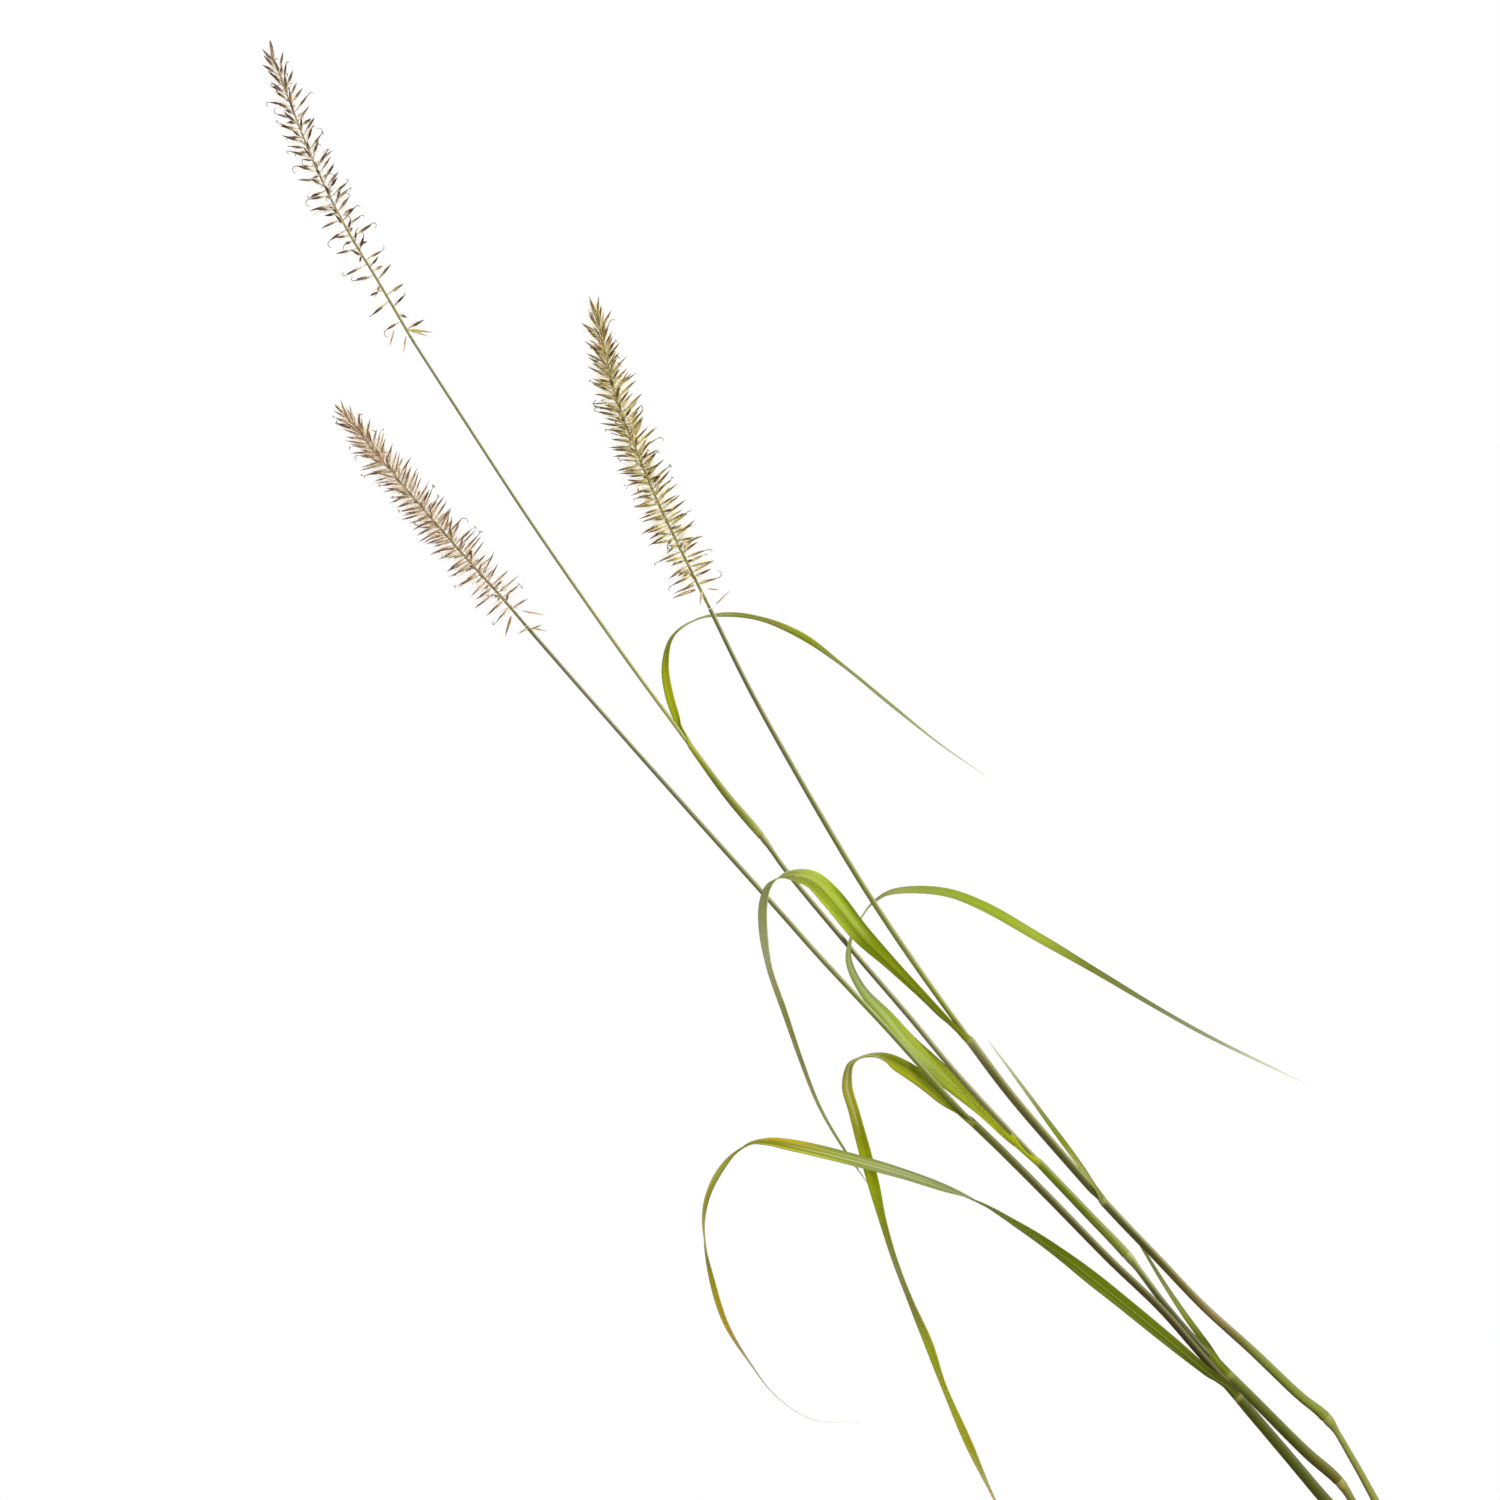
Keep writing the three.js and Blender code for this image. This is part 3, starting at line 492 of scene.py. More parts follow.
def paintedLightAndShade(tones, facing, height):
    # painted highlight: stems are paler along their sides where the light falls, most on the one that faces
    # right, towards the lamps, and less so low down
    look = culmLook
    sideways = np.where(facing > 0, facing, -0.9 * facing)
    strength = np.interp(height, look["paintedHighlightHeights"], look["paintedHighlightStrengths"])
    pale = (strength * ease((sideways - 0.35) / 0.65))[..., None]
    # and painted shade: darker and ruddier low down on the one that faces left, away from the light
    dark = (np.interp(height, look["paintedShadeHeights"], (1, 0)) * ease((-facing - 0.05) / 0.7))[..., None]
    return blend(tones, look["paintedHighlightTone"], pale) * (1 - dark * np.array(look["paintedShadeStrengths"]))


def makeCulm(key, culm):
    look = culmLook
    bottom, top = culm["path"][0][2], culm["path"][-1][2]
    reach = look["closeReach"]
    closer = [np.arange(h - reach, h + reach + 0.1, look["closeStep"]) for h, _ in culm["nodes"]]
    heights = np.unique(np.concatenate([np.arange(bottom, top, look["step"]), [top], *closer]))
    centres, headings = onCulm(culm, heights)
    radius = culmRadius(culm, heights)
    tones = blendTones(culm["tones"], heights)
    # under each node are a fine groove and a lip; a node is paler, with a dark line under it
    for nodeHeight, _ in culm["nodes"]:
        for part in ("groove", "lip"):
            over, width, strength = look[part]
            radius = radius + strength * bump(heights - nodeHeight, over, width)
        for part in ("pale", "line"):
            over, width, strength = look[part]
            amount = bump(heights - nodeHeight, over, width)[:, None] * strength
            tones = blend(tones, look[part + "Tone"], amount)
    angles = roundAngles(look["sides"])
    ribbed = 1 + look["ribs"] * np.cos(angles * look["ribCount"] + 0.6)
    # painted highlight on the side of the culm that faces the light, painted shade on the side away from it
    tones = paintedLightAndShade(tones[:, None], np.cos(angles - look["paintedLightTurn"])[None], heights[:, None])
    work = newWork()
    addTube(
        work, centres, *squareTo(headings), radius[:, None] * ribbed, angles, tones,
        (look["girth"], heights[:, None], float(ord(key))),
    )
    finishPiece(f"culm_{key}_skin", work, [culmSkin], f"culm_{key}")


for key, culm in culms.items():
    makeCulm(key, culm)
print("culms made")


# the leaves: a sheath rolled round its culm that opens into a long folded blade

# waves: how strong and how close together. collarBand: how far above the collar, how wide, how strong
leafLook = {
    "across": 21, "stepsPerPoint": 7, "thickness": 0.46, "marginThickness": 0.26, "fullWidth": 5,
    "keel": 0.22, "keelWidth": 0.09, "fold": 0.17, "tipLength": 16, "unrollLength": 12,
    "widthWave": (0.012, 0.17), "foldWave": (0.2, 0.05), "marginWave": (0.012, 0.12),
    "sheathWall": 0.3, "sheathKeel": 0.05, "wrap": 1.04, "overlap": 0.16, "nodeReach": 9, "growLength": 6,
    "mouth": 6, "mouthStations": 17, "mouthLift": 0.9, "mouthCurve": 2.4, "mouthFade": 4,
    "collar": paint(150, 152, 84), "collarBand": (0.6, 0.9, 0.45), "rib": paint(178, 192, 92),
    "ribStrength": 0.3, "mouthRib": 0.1, "ribWidth": 0.06, "stripeEnd": 0.05,
}

# point: place, width, turn about its own length (0 shows the upper face to the front, 90 is on edge)
# tones: share of the blade's length, colour of its upper face, and of its under face where that differs
# sheath: share of its height, colour. extra: how far it stands off its culm at its foot and its collar
# stripes: from and to share of the length, place across (-1 to 1), half width, colour, strength
leaves = {
    "leaf_1": {
        "culm": "a", "collar": 648, "foot": 611, "side": -20, "rootWidth": 2.8, "extra": (0.5, 0.0),
        "points": [
            [-357.8, 44.5, 659.5, 3.9, 30], [-362.2, 47, 672.5, 4.3, 22], [-364, 50, 686, 4.3, 40],
            [-361, 52, 699, 4.0, 68], [-351, 57, 707.5, 3.8, 88], [-336, 62, 710.5, 4.1, 118],
            [-318.5, 68, 708.5, 3.9, 122], [-299, 75, 700.5, 3.9, 144], [-280, 80, 687, 2.9, 120],
            [-256.5, 85, 668, 2.2, 128], [-232.5, 88, 649, 1.1, 130], [-208.5, 90, 632.5, 0.5, 130],
        ],
        "sheath": [(0, (124, 132, 60)), (0.25, (102, 110, 40)), (0.6, (98, 106, 36)), (1, (132, 140, 44))],
        "tones": [
            (0, (148, 156, 24), (144, 152, 30)), (0.12, (154, 162, 24), (150, 158, 30)),
            (0.18, (148, 158, 46), (146, 156, 44)), (0.24, (168, 174, 110), (162, 168, 110)),
            (0.3, (176, 176, 140), (170, 170, 136)), (0.36, (144, 148, 70), (144, 148, 76)),
            (0.44, (138, 144, 64), (140, 146, 68)), (0.53, (122, 138, 20), (126, 142, 22)),
            (0.62, (166, 170, 120)), (0.76, (164, 170, 120)), (0.88, (190, 192, 160)), (1, (222, 224, 212)),
        ],
        "stripes": [
            (0, 0.35, -0.75, 0.25, (124, 134, 24), 0.4), (0.45, 0.7, 0.8, 0.2, (176, 180, 60), 0.4),
        ],
    },
    "leaf_2": {
        "culm": "b", "collar": 514, "foot": 444, "side": 150, "rootWidth": 4.4, "extra": (0.4, 0.45),
        "points": [
            [-246, -31, 535, 5.1, -137], [-260.5, -33, 549.5, 6.4, -153], [-274.5, -37, 563.5, 9.2, -167],
            [-287, -41, 579, 9.9, -165], [-295.5, -45, 587.5, 9.7, -150], [-302.5, -49, 589.9, 8.8, -136],
            [-309.5, -53, 589.9, 7.4, -106], [-315.5, -57, 585.5, 7.0, -72], [-318, -59, 577, 7.4, -60],
            [-318, -58, 565, 6.9, -57], [-315.5, -53, 550, 5.8, -64], [-309, -43, 530.5, 5.1, -60],
            [-300.5, -30, 505, 3.7, -60], [-292, -18, 483, 2.3, -50], [-280.5, -5, 462.5, 1.4, -40],
            [-267.5, 8, 443, 0.6, -40],
        ],
        "sheath": [(0, (58, 60, 28)), (0.4, (60, 58, 38)), (0.8, (68, 66, 40)), (1, (100, 94, 70))],
        "tones": [
            (0, (98, 110, 22), (98, 110, 20)), (0.08, (104, 120, 14), (110, 124, 14)),
            (0.14, (108, 128, 8), (116, 132, 8)), (0.2, (98, 118, 4), (104, 122, 6)),
            (0.26, (122, 148, 24), (128, 150, 34)), (0.3, (138, 160, 36), (150, 172, 44)),
            (0.34, (156, 174, 66), (166, 184, 76)), (0.38, (152, 160, 92), (154, 164, 96)),
            (0.47, (166, 174, 118), (168, 176, 124)), (0.54, (184, 188, 148)), (0.62, (146, 156, 86)),
            (0.72, (144, 150, 96)), (0.82, (160, 162, 116)), (0.91, (128, 140, 72)), (1, (214, 218, 200)),
        ],
        "stripes": [
            (0.21, 0.34, -0.3, 0.15, (166, 186, 104), 0.5), (0.1, 0.3, -0.9, 0.3, (80, 96, 8), 0.85),
            # the stripe from 0.22 to 0.34 at 0.75 across is painted light: it brightens the half of the fold
            # that faces away from the light
            (0.1, 0.22, 0.4, 0.4, (92, 112, 4), 0.4), (0.22, 0.34, 0.75, 0.4, (178, 198, 66), 0.6),
            (0.2, 0.36, 0.12, 0.05, (100, 120, 24), 0.6), (0.22, 0.36, 0.38, 0.05, (98, 118, 20), 0.6),
            (0.24, 0.36, 0.62, 0.05, (100, 120, 20), 0.5), (0.24, 0.36, -0.55, 0.05, (106, 126, 30), 0.5),
            (0.4, 0.62, -0.4, 0.45, (186, 192, 150), 0.3),
        ],
    },
    "leaf_3": {
        "culm": "a", "collar": 455, "foot": 419, "side": 150, "rootWidth": 3.8, "extra": (0.5, 0.3),
        "points": [
            [-215.5, 15, 479, 6.9, 192], [-236, 17, 496.5, 9, 184], [-249.5, 16, 509.5, 9, 150],
            [-260.5, 14, 523, 8.7, 132], [-272, 12, 536, 8.5, 117], [-278, 12, 549, 8.3, 110],
            [-277, 13, 559, 7.8, 101], [-272.5, 16, 568.5, 6.4, 94], [-267, 21, 575, 5.8, 90],
            [-256, 29, 580, 6.8, 68], [-234, 40, 579.5, 7.1, 60], [-213.5, 50, 572, 6.9, 50],
            [-185.5, 60, 556, 6.4, 50], [-158, 68, 540, 5.1, 58], [-130.5, 74, 523.5, 3.7, 60],
            [-102.5, 78, 508, 2.5, 55], [-58, 81, 486.5, 0.7, 50],
        ],
        "sheath": [(0, (104, 114, 44)), (0.5, (76, 90, 20)), (1, (90, 106, 8))],
        "tones": [
            (0, (150, 162, 24), (150, 160, 24)), (0.05, (170, 182, 30), (172, 182, 30)),
            (0.1, (158, 172, 50)), (0.15, (136, 152, 56), (126, 142, 50)),
            (0.22, (134, 156, 60), (126, 146, 58)), (0.28, (122, 132, 78), (114, 124, 78)),
            (0.33, (130, 140, 90)), (0.36, (180, 180, 154)), (0.39, (138, 144, 90), (140, 146, 94)),
            (0.46, (120, 134, 50), (128, 142, 58)), (0.54, (120, 140, 34), (132, 154, 40)),
            (0.62, (130, 146, 50), (138, 154, 56)), (0.7, (92, 100, 32), (104, 112, 40)),
            (0.79, (94, 100, 68), (104, 110, 72)), (0.88, (128, 132, 104)), (1, (208, 208, 186)),
        ],
        "stripes": [
            # the first stripe is painted light: it brightens the blade's base where the culm's shadow falls
            # on it
            (0.02, 0.14, -0.75, 0.3, (196, 208, 50), 0.75), (0.13, 0.22, -0.75, 0.25, (150, 164, 30), 0.6),
            (0.08, 0.28, 0.85, 0.2, (98, 116, 26), 0.65), (0.14, 0.34, 0.25, 0.3, (150, 170, 104), 0.5),
            (0.5, 0.68, 0.8, 0.25, (116, 128, 44), 0.4),
        ],
    },
    "leaf_4": {
        "culm": "c", "collar": 475, "foot": 354, "side": 222, "rootWidth": 4.6, "extra": (0.3, 0.3),
        "points": [
            [-232.6, -2.4, 483.4, 5.6, -6], [-239, -1.6, 489.4, 6.7, -9], [-247, -1, 496, 7.4, -12],
            [-256.5, -5, 502, 7.1, -25], [-264, -11, 505.5, 6.9, -65], [-272.5, -19, 506.4, 5.6, -93],
            [-278.5, -26, 503.2, 6.0, -68], [-280, -31, 494, 6.2, -42], [-277, -34, 483, 6, -37],
            [-269, -35, 453.5, 6.2, -30], [-264, -34, 434, 5.5, -55], [-258, -31, 414.5, 5.3, -62],
            [-251, -28, 396, 5.1, -60], [-243, -25, 377, 4.8, -35], [-236, -22, 357.5, 4.4, -55],
            [-224, -18, 329.5, 4.1, -32], [-214.5, -15, 308.5, 2.1, -48], [-204, -12, 287, 0.7, -48],
        ],
        "sheath": [
            # the sheath's dark tones are partly its own dusky brown, partly painted shade
            (0, (38, 34, 16)), (0.35, (50, 42, 30)), (0.55, (46, 40, 25)), (0.75, (54, 51, 32)),
            (1, (72, 80, 30)),
        ],
        "tones": [
            (0, (108, 118, 24), (108, 118, 26)), (0.07, (114, 122, 18), (102, 112, 18)),
            (0.13, (128, 134, 24), (112, 120, 18)), (0.17, (136, 134, 74), (122, 122, 66)),
            (0.2, (156, 156, 92), (142, 142, 82)), (0.24, (156, 156, 70), (140, 140, 60)),
            (0.28, (168, 166, 44), (142, 144, 38)), (0.33, (132, 138, 4), (118, 128, 4)),
            (0.42, (148, 164, 14), (122, 136, 10)), (0.49, (140, 150, 40), (118, 130, 30)),
            (0.55, (148, 156, 92), (124, 134, 70)), (0.61, (130, 136, 66), (116, 126, 50)),
            (0.68, (144, 158, 28), (118, 132, 24)), (0.76, (164, 172, 50), (130, 140, 40)),
            (0.85, (152, 150, 34), (126, 130, 30)), (0.92, (182, 180, 124), (160, 160, 110)),
            (1, (200, 196, 150)),
        ],
        "stripes": [
            (0.0, 0.16, 0.4, 0.45, (84, 96, 14), 0.9), (0.0, 0.16, -0.62, 0.3, (150, 158, 28), 0.8),
            (0.0, 0.09, -0.95, 0.07, (96, 84, 30), 0.6), (0.03, 0.14, -0.2, 0.06, (156, 164, 40), 0.4),
            (0.24, 0.36, 0.8, 0.25, (146, 148, 50), 0.5), (0.18, 0.32, 0.0, 0.2, (226, 226, 180), 0.6),
            (0.6, 0.95, -0.85, 0.16, (176, 160, 60), 0.5),
        ],
    },
    "leaf_5": {
        "culm": "c", "collar": 350, "foot": 278, "side": 100, "rootWidth": 6.0, "extra": (0.6, 0.4),
        "points": [
            [-113.5, -19, 361, 5.1, -142], [-132.5, -25, 377, 5.8, -165], [-164, -31, 403, 6.4, -172],
            [-188, -35, 421.5, 6.4, -140], [-204.5, -38, 432.5, 6.4, -118], [-222, -41, 443, 6.4, -97],
            [-240.5, -44, 450.5, 6.2, -58], [-259, -47, 457, 6.2, -45], [-288, -53, 465.5, 6.2, -32],
            [-306.5, -58, 470, 6, -38], [-317, -62, 471.6, 5.6, -62], [-326, -66, 470.4, 4.6, -92],
            [-335.5, -70, 462, 5.3, -118], [-342.5, -72, 449, 5.1, -115], [-344.5, -72, 434.5, 4.8, -98],
            [-340.5, -69, 410, 4.4, -55], [-334.5, -65, 391, 3.9, -55], [-324.5, -61, 374, 1.7, -60],
            [-312.5, -57, 358, 0.9, -65], [-296, -54, 347, 0.7, -70], [-275, -52, 345.5, 0.5, -70],
        ],
        "sheath": [(0, (60, 68, 28)), (0.5, (54, 62, 22)), (0.9, (48, 56, 16)), (1, (40, 44, 12))],
        "tones": [
            (0, (48, 56, 12)), (0.04, (70, 84, 16), (70, 84, 14)), (0.08, (80, 94, 16), (76, 90, 16)),
            (0.18, (84, 98, 10), (74, 90, 6)), (0.25, (92, 108, 12), (84, 102, 4)),
            (0.3, (110, 124, 40), (102, 120, 26)), (0.36, (112, 122, 76), (110, 124, 66)),
            (0.44, (116, 124, 84), (110, 120, 72)), (0.5, (110, 122, 46), (104, 116, 40)),
            (0.54, (112, 112, 12), (106, 108, 12)), (0.59, (104, 106, 28), (98, 102, 28)),
            (0.64, (138, 142, 72), (128, 132, 60)), (0.68, (118, 120, 50), (106, 108, 42)),
            (0.72, (166, 164, 112), (154, 154, 104)), (0.75, (166, 160, 52), (156, 152, 50)),
            (0.78, (180, 166, 40), (170, 158, 40)), (0.81, (186, 160, 48), (176, 152, 46)),
            (0.835, (176, 158, 110), (170, 154, 106)), (0.86, (174, 168, 148), (170, 164, 144)),
            (0.91, (196, 188, 186), (192, 186, 182)), (1, (224, 218, 218)),
        ],
        "stripes": [
            (0.06, 0.32, 0.7, 0.28, (104, 124, 50), 0.5), (0.34, 0.54, 0.82, 0.16, (96, 112, 56), 0.6),
            (0.34, 0.54, -0.84, 0.14, (108, 122, 60), 0.5), (0.36, 0.55, -0.2, 0.1, (186, 194, 150), 0.5),
            (0.4, 0.55, 0.35, 0.08, (180, 190, 140), 0.4), (0.53, 0.62, 0.7, 0.25, (186, 156, 28), 0.7),
            (0.5, 0.6, -0.8, 0.16, (180, 182, 70), 0.6), (0.62, 0.7, -0.85, 0.2, (186, 164, 60), 0.4),
        ],
    },
    "leaf_6": {
        "culm": "a", "collar": 358, "foot": 315, "side": 74, "rootWidth": 4.6, "extra": (0.5, 0.35),
        "points": [
            [-116.5, 2, 376, 3.4, 152], [-124.4, 3, 387, 2.8, 158], [-133, 4, 400, 2.1, 155],
            [-142.5, 6, 415.5, 1.4, 150], [-150, 7, 427, 0.6, 150],
        ],
        "sheath": [
            (0, (84, 78, 34)), (0.2, (74, 72, 30)), (0.5, (56, 66, 22)), (0.8, (62, 74, 28)),
            (1, (74, 86, 34)),
        ],
        "tones": [
            (0, (84, 98, 18), (82, 94, 20)), (0.3, (100, 116, 28), (96, 108, 36)),
            (0.55, (110, 122, 66), (106, 114, 66)), (0.8, (94, 102, 44), (90, 96, 44)),
            (1, (122, 128, 80), (116, 122, 76)),
        ],
        "stripes": [(0, 0.8, -0.8, 0.2, (96, 114, 24), 0.4)],
    },
    "leaf_7": {
        "culm": "b", "collar": 440, "foot": 346, "side": 40, "rootWidth": 3.0, "extra": (0.45, 0.4),
        "points": [
            [-171.3, -17, 454, 2.9, 140], [-176.4, -18, 461, 2.8, 150], [-182.3, -19, 469, 2.6, 155],
            [-188.3, -20, 477, 2.2, 155], [-200, -21, 493, 1.6, 152], [-216, -22, 514.5, 0.7, 150],
        ],
        "sheath": [
            (0, (104, 116, 46)), (0.28, (92, 104, 40)), (0.38, (92, 86, 46)), (0.48, (108, 92, 60)),
            (0.6, (78, 68, 36)), (0.8, (50, 50, 22)), (1, (66, 70, 36)),
        ],
        "tones": [
            (0, (98, 104, 52), (96, 102, 50)), (0.14, (118, 124, 64), (114, 120, 60)),
            (0.3, (104, 116, 24), (96, 106, 22)), (0.5, (104, 112, 52), (98, 106, 48)),
            (0.7, (134, 138, 100), (128, 132, 94)), (1, (180, 184, 160), (170, 174, 150)),
        ],
        "stripes": [(0, 0.25, 0.7, 0.3, (156, 164, 100), 0.4)],
    },
}


def rolledSection(u, roll, radius):
    # a section rolled to a half angle round the culm: across and up from its middle line
    return radius * np.sin(u * roll), radius * (1 - np.cos(u * roll))


def foldedSection(u, half, fold):
    # a soft V with slightly drooping margins
    lift = np.sqrt(u ** 2 + 0.02) - math.sqrt(0.02)
    return half * u, half * fold * (lift - 0.22 * np.abs(u) ** 4)


def sweepLeaf(work, stations, u, chance):
    # station: middle, across, up, section (x, z), thickness, keel, tones of both faces, distance along
    rings = [[], [], []]  # places, colours and grain: over the upper face, then back over the under face
    for s in stations:
        x, z = s["section"]
        dx, dz = np.gradient(x, u), np.gradient(z, u)
        size = np.hypot(dx, dz) + 1e-9
        nx, nz = -dz / size, dx / size
        gone = np.concatenate([[0], np.cumsum(np.hypot(np.diff(x), np.diff(z)))])
        grain = np.stack(np.broadcast_arrays(gone - gone[len(gone) // 2], s["gone"], chance), -1)
        under = s["thick"] / 2 + s["keel"] * bump(u, 0, leafLook["keelWidth"])
        for depth, tone, turned in ((-s["thick"] / 2, s["tones"][0], 1), (under, s["tones"][1], -1)):
            place = s["middle"] + np.outer(x - nx * depth, s["across"]) + np.outer(z - nz * depth, s["up"])
            for ring, part in zip(rings, (place, tone, grain)):
                ring.append(part[::turned])
    count, sides = len(stations), 2 * len(u)
    quads, _ = tubeFaces(count, sides)
    ids = np.arange(count * sides).reshape(count, sides)
    for row, turned in ((ids[0], 1), (ids[-1], -1)):
        strip = [[row[i], row[i + 1], row[-2 - i], row[-1 - i]][::turned] for i in range(len(u) - 1)]
        quads = np.vstack([quads, strip])
    points, tint, grain = rings
    addPart(work, points, quads, [], tint, grain)


def bladeTones(tones, stripes, share, u, rib=leafLook["ribStrength"]):
    # both faces' colours at one station: lengthwise stripes, then a pale line on the midrib
    pair = []
    for face in (1, -1):
        toned = blendTones([(stop[0], stop[face]) for stop in tones], [share])
        for start, end, place, half, tone, strength in stripes:
            begun, left = [ease(away / leafLook["stripeEnd"] + 0.5) for away in (share - start, end - share)]
            toned = blend(toned, paint(*tone), (strength * (begun * left) * bump(u, place, half))[:, None])
        line = (rib * (1 - share) * bump(u, 0, leafLook["ribWidth"]))[:, None]
        pair.append(blend(toned, leafLook["rib"], line))
    return pair


def makeLeaf(name, leaf, order):
    look, culm, collar = leafLook, culms[leaf["culm"]], leaf["collar"]
    u = np.linspace(-1, 1, look["across"])
    side = math.radians(leaf["side"])
    stations = []
    # the sheath starts thin on its culm, or on the node just under it, and ends in its mouth,
    # where the margins slide back round the culm
    under = [h for h, _ in culm["nodes"] if 0 < leaf["foot"] - h < look["nodeReach"]]
    foot = under[0] + 1.0 if under else leaf["foot"] - 3.0
    heights = np.concatenate([
        np.arange(foot, foot + 8, 0.8), np.arange(foot + 8, collar - 1.5, 2.5),
        np.linspace(collar - 1, collar + look["mouth"], look["mouthStations"]),
    ])
    centres, headings = onCulm(culm, heights)
    wide, front = squareTo(headings)
    stem = culmRadius(culm, heights)
    for i, height in enumerate(heights):
        opened = np.clip((height - collar) / look["mouth"], 0, 1)
        outward, across = turnPair(wide[i], front[i], side)
        climbed = np.clip((height - foot) / (collar - foot), 0, 1)
        grown = float(ease((height - foot) / look["growLength"]))
        wall = look["sheathWall"] * (0.25 + 0.75 * grown)
        extra = leaf["extra"][0] + (leaf["extra"][1] - leaf["extra"][0]) * climbed
        radius = stem[i] + wall / 2 + 0.02 + extra * grown
        lastRoll = leaf["rootWidth"] / 2 / radius
        roll = lastRoll + (look["wrap"] * math.pi - lastRoll) * (1 - opened) ** look["mouthCurve"]
        turned = u * roll
        x, z = rolledSection(u, roll, radius)
        spread = look["overlap"] * (u + 1) / 2 * (1 - opened)
        x, z = x + np.sin(turned) * spread, z - np.cos(turned) * spread
        slit = np.abs(u) ** 3 * (1 - opened)
        upperTone, underTone = bladeTones(leaf["tones"], leaf["stripes"], 0.0, u, look["mouthRib"])
        # the sheath takes the same painted highlight and painted shade, by the way each part of it faces
        lit = side - culmLook["paintedLightTurn"]
        facing = np.cos(turned) * math.cos(lit) - np.sin(turned) * math.sin(lit)
        sheathTone = paintedLightAndShade(blendTones(leaf["sheath"], [climbed]), facing, height)
        sheathTone = blend(sheathTone, underTone, float(ease((height - collar + 1) / look["mouthFade"])))
        above, width, strength = look["collarBand"]
        sheathTone = blend(sheathTone, look["collar"], strength * bump(height - collar, above, width))
        stations.append({
            "middle": centres[i] + outward * (radius + look["mouthLift"] * opened), "across": across,
            "up": -outward, "section": (x, z), "thick": wall * (1 - 0.5 * slit),
            "keel": look["sheathKeel"] * grown, "tones": (upperTone, sheathTone), "gone": height,
        })
    mouthX, mouthZ = rolledSection(u, lastRoll, radius)
    # the blade goes the short way round from the mouth to its own first turn
    rootTurn = math.degrees(math.atan2(math.cos(side), -math.sin(side)))
    rootTurn += 360 * round((leaf["points"][0][4] - rootTurn) / 360)
    points = [[*stations[-1]["middle"], leaf["rootWidth"], rootTurn], *leaf["points"]]
    spans = len(points) - 1
    shares = np.linspace(0, 1, spans * look["stepsPerPoint"] + 1)
    path = [stations[-5]["middle"], *[p[:3] for p in points]]
    places, headings = bend(path, (shares * spans + 1) / len(points))
    widths, turns = [smoothValues([p[k] for p in points], shares) for k in (3, 4)]
    wide, front = squareTo(headings)
    gone = lengthsAlong(places)
    waves = np.random.default_rng(500 + order).uniform(0, 6.28, 4)
    widthWave, foldWave, marginWave = look["widthWave"], look["foldWave"], look["marginWave"]
    for i in range(1, len(shares)):
        share = gone[i] / gone[-1]
        across, up = turnPair(wide[i], front[i], math.radians(turns[i]))
        width = widths[i] * (1 + widthWave[0] * math.sin(gone[i] * widthWave[1] + waves[0]))
        width *= min(1, 0.12 + 0.88 * math.sqrt(min(1, (gone[-1] - gone[i]) / look["tipLength"])))
        fold = look["fold"] * (1 + foldWave[0] * math.sin(gone[i] * foldWave[1] + waves[1]))
        x, z = foldedSection(u, width / 2, fold)
        rippled = np.sin(gone[i] * marginWave[1] + waves[2] + np.sign(u) * waves[3])
        z = z + marginWave[0] * width * np.abs(u) ** 2 * rippled
        unrolled = ease(gone[i] / look["unrollLength"])
        slim = min(1, 0.3 + width / look["fullWidth"])
        stations.append({
            "middle": places[i], "across": across, "up": up,
            "section": (blend(mouthX, x, unrolled), blend(mouthZ, z, unrolled)),
            "thick": slim * (look["thickness"] + (look["marginThickness"] - look["thickness"]) * u ** 2),
            "keel": look["keel"] * slim * (1 - 0.7 * share) * unrolled,
            "tones": bladeTones(leaf["tones"], leaf["stripes"], share, u), "gone": gone[i] + collar,
        })
    work = newWork()
    sweepLeaf(work, stations, u, order * 37.0)
    finishPiece(f"{name}_blade", work, [bladeSkin], name)


for order, (name, leaf) in enumerate(leaves.items()):
    makeLeaf(name, leaf, order)
print("leaves made")


# the flower heads

# tilts, in degrees, and lengths of the spikelets go by their share of the head's height
# knuckles: how high and how close together. longBristle: one in each ring. threads: the share of the
# spikelets that carry anthers. paleHusk, scale: how far they spread, their lengths and their radius
# as shares of the dark husk's. thread, sac: their lengths, radius and how flat they are
headLook = {
    "axisRadii": (0.68, 0.34), "axisShare": 0.95, "axisRings": 120, "knuckles": (0.09, 2.1),
    "tilts": [(0, 102), (0.15, 88), (0.5, 71), (0.8, 56), (0.93, 36), (1, 10)], "tiltSpread": 12,
    "lengths": [(0, 0.84), (0.12, 1), (0.66, 1), (0.88, 0.88)], "lengthSpread": 0.13,
    "goldenAngle": 137.5, "turnSpread": 22, "stalkRadius": 0.16,
    "bristleLength": (5.0, 10.0), "bristleSpread": (0.12, 0.42), "bristleRadius": 0.085,
    "longBristle": (10.5, 14.0), "downLength": (2.0, 4.5), "downSpread": 0.35, "downThickness": 1.3,
    "paleHusk": (0.05, (0.75, 0.92), 0.85), "scale": (0.1, (0.28, 0.42), 0.7), "looseBristles": 6,
    "threads": 0.14, "threadSpread": 0.35, "sacSpread": 0.2,
    "thread": ((1.2, 2.6), 0.08, 1.0), "threadTones": [(0, (150, 130, 110)), (1, (120, 104, 90))],
    "sac": ((1.5, 2.1), 0.22, 0.7), "sacTones": [(0, (104, 88, 76)), (1, (84, 70, 60))],
    "curlSizes": (0.45, 1.25), "curlTurns": (0.6, 1.35), "curlReach": (1.8, 1.6), "curlArc": 2.6,
    "curlRadii": (0.21, 0.12), "curlTone": paint(104, 80, 56),
}

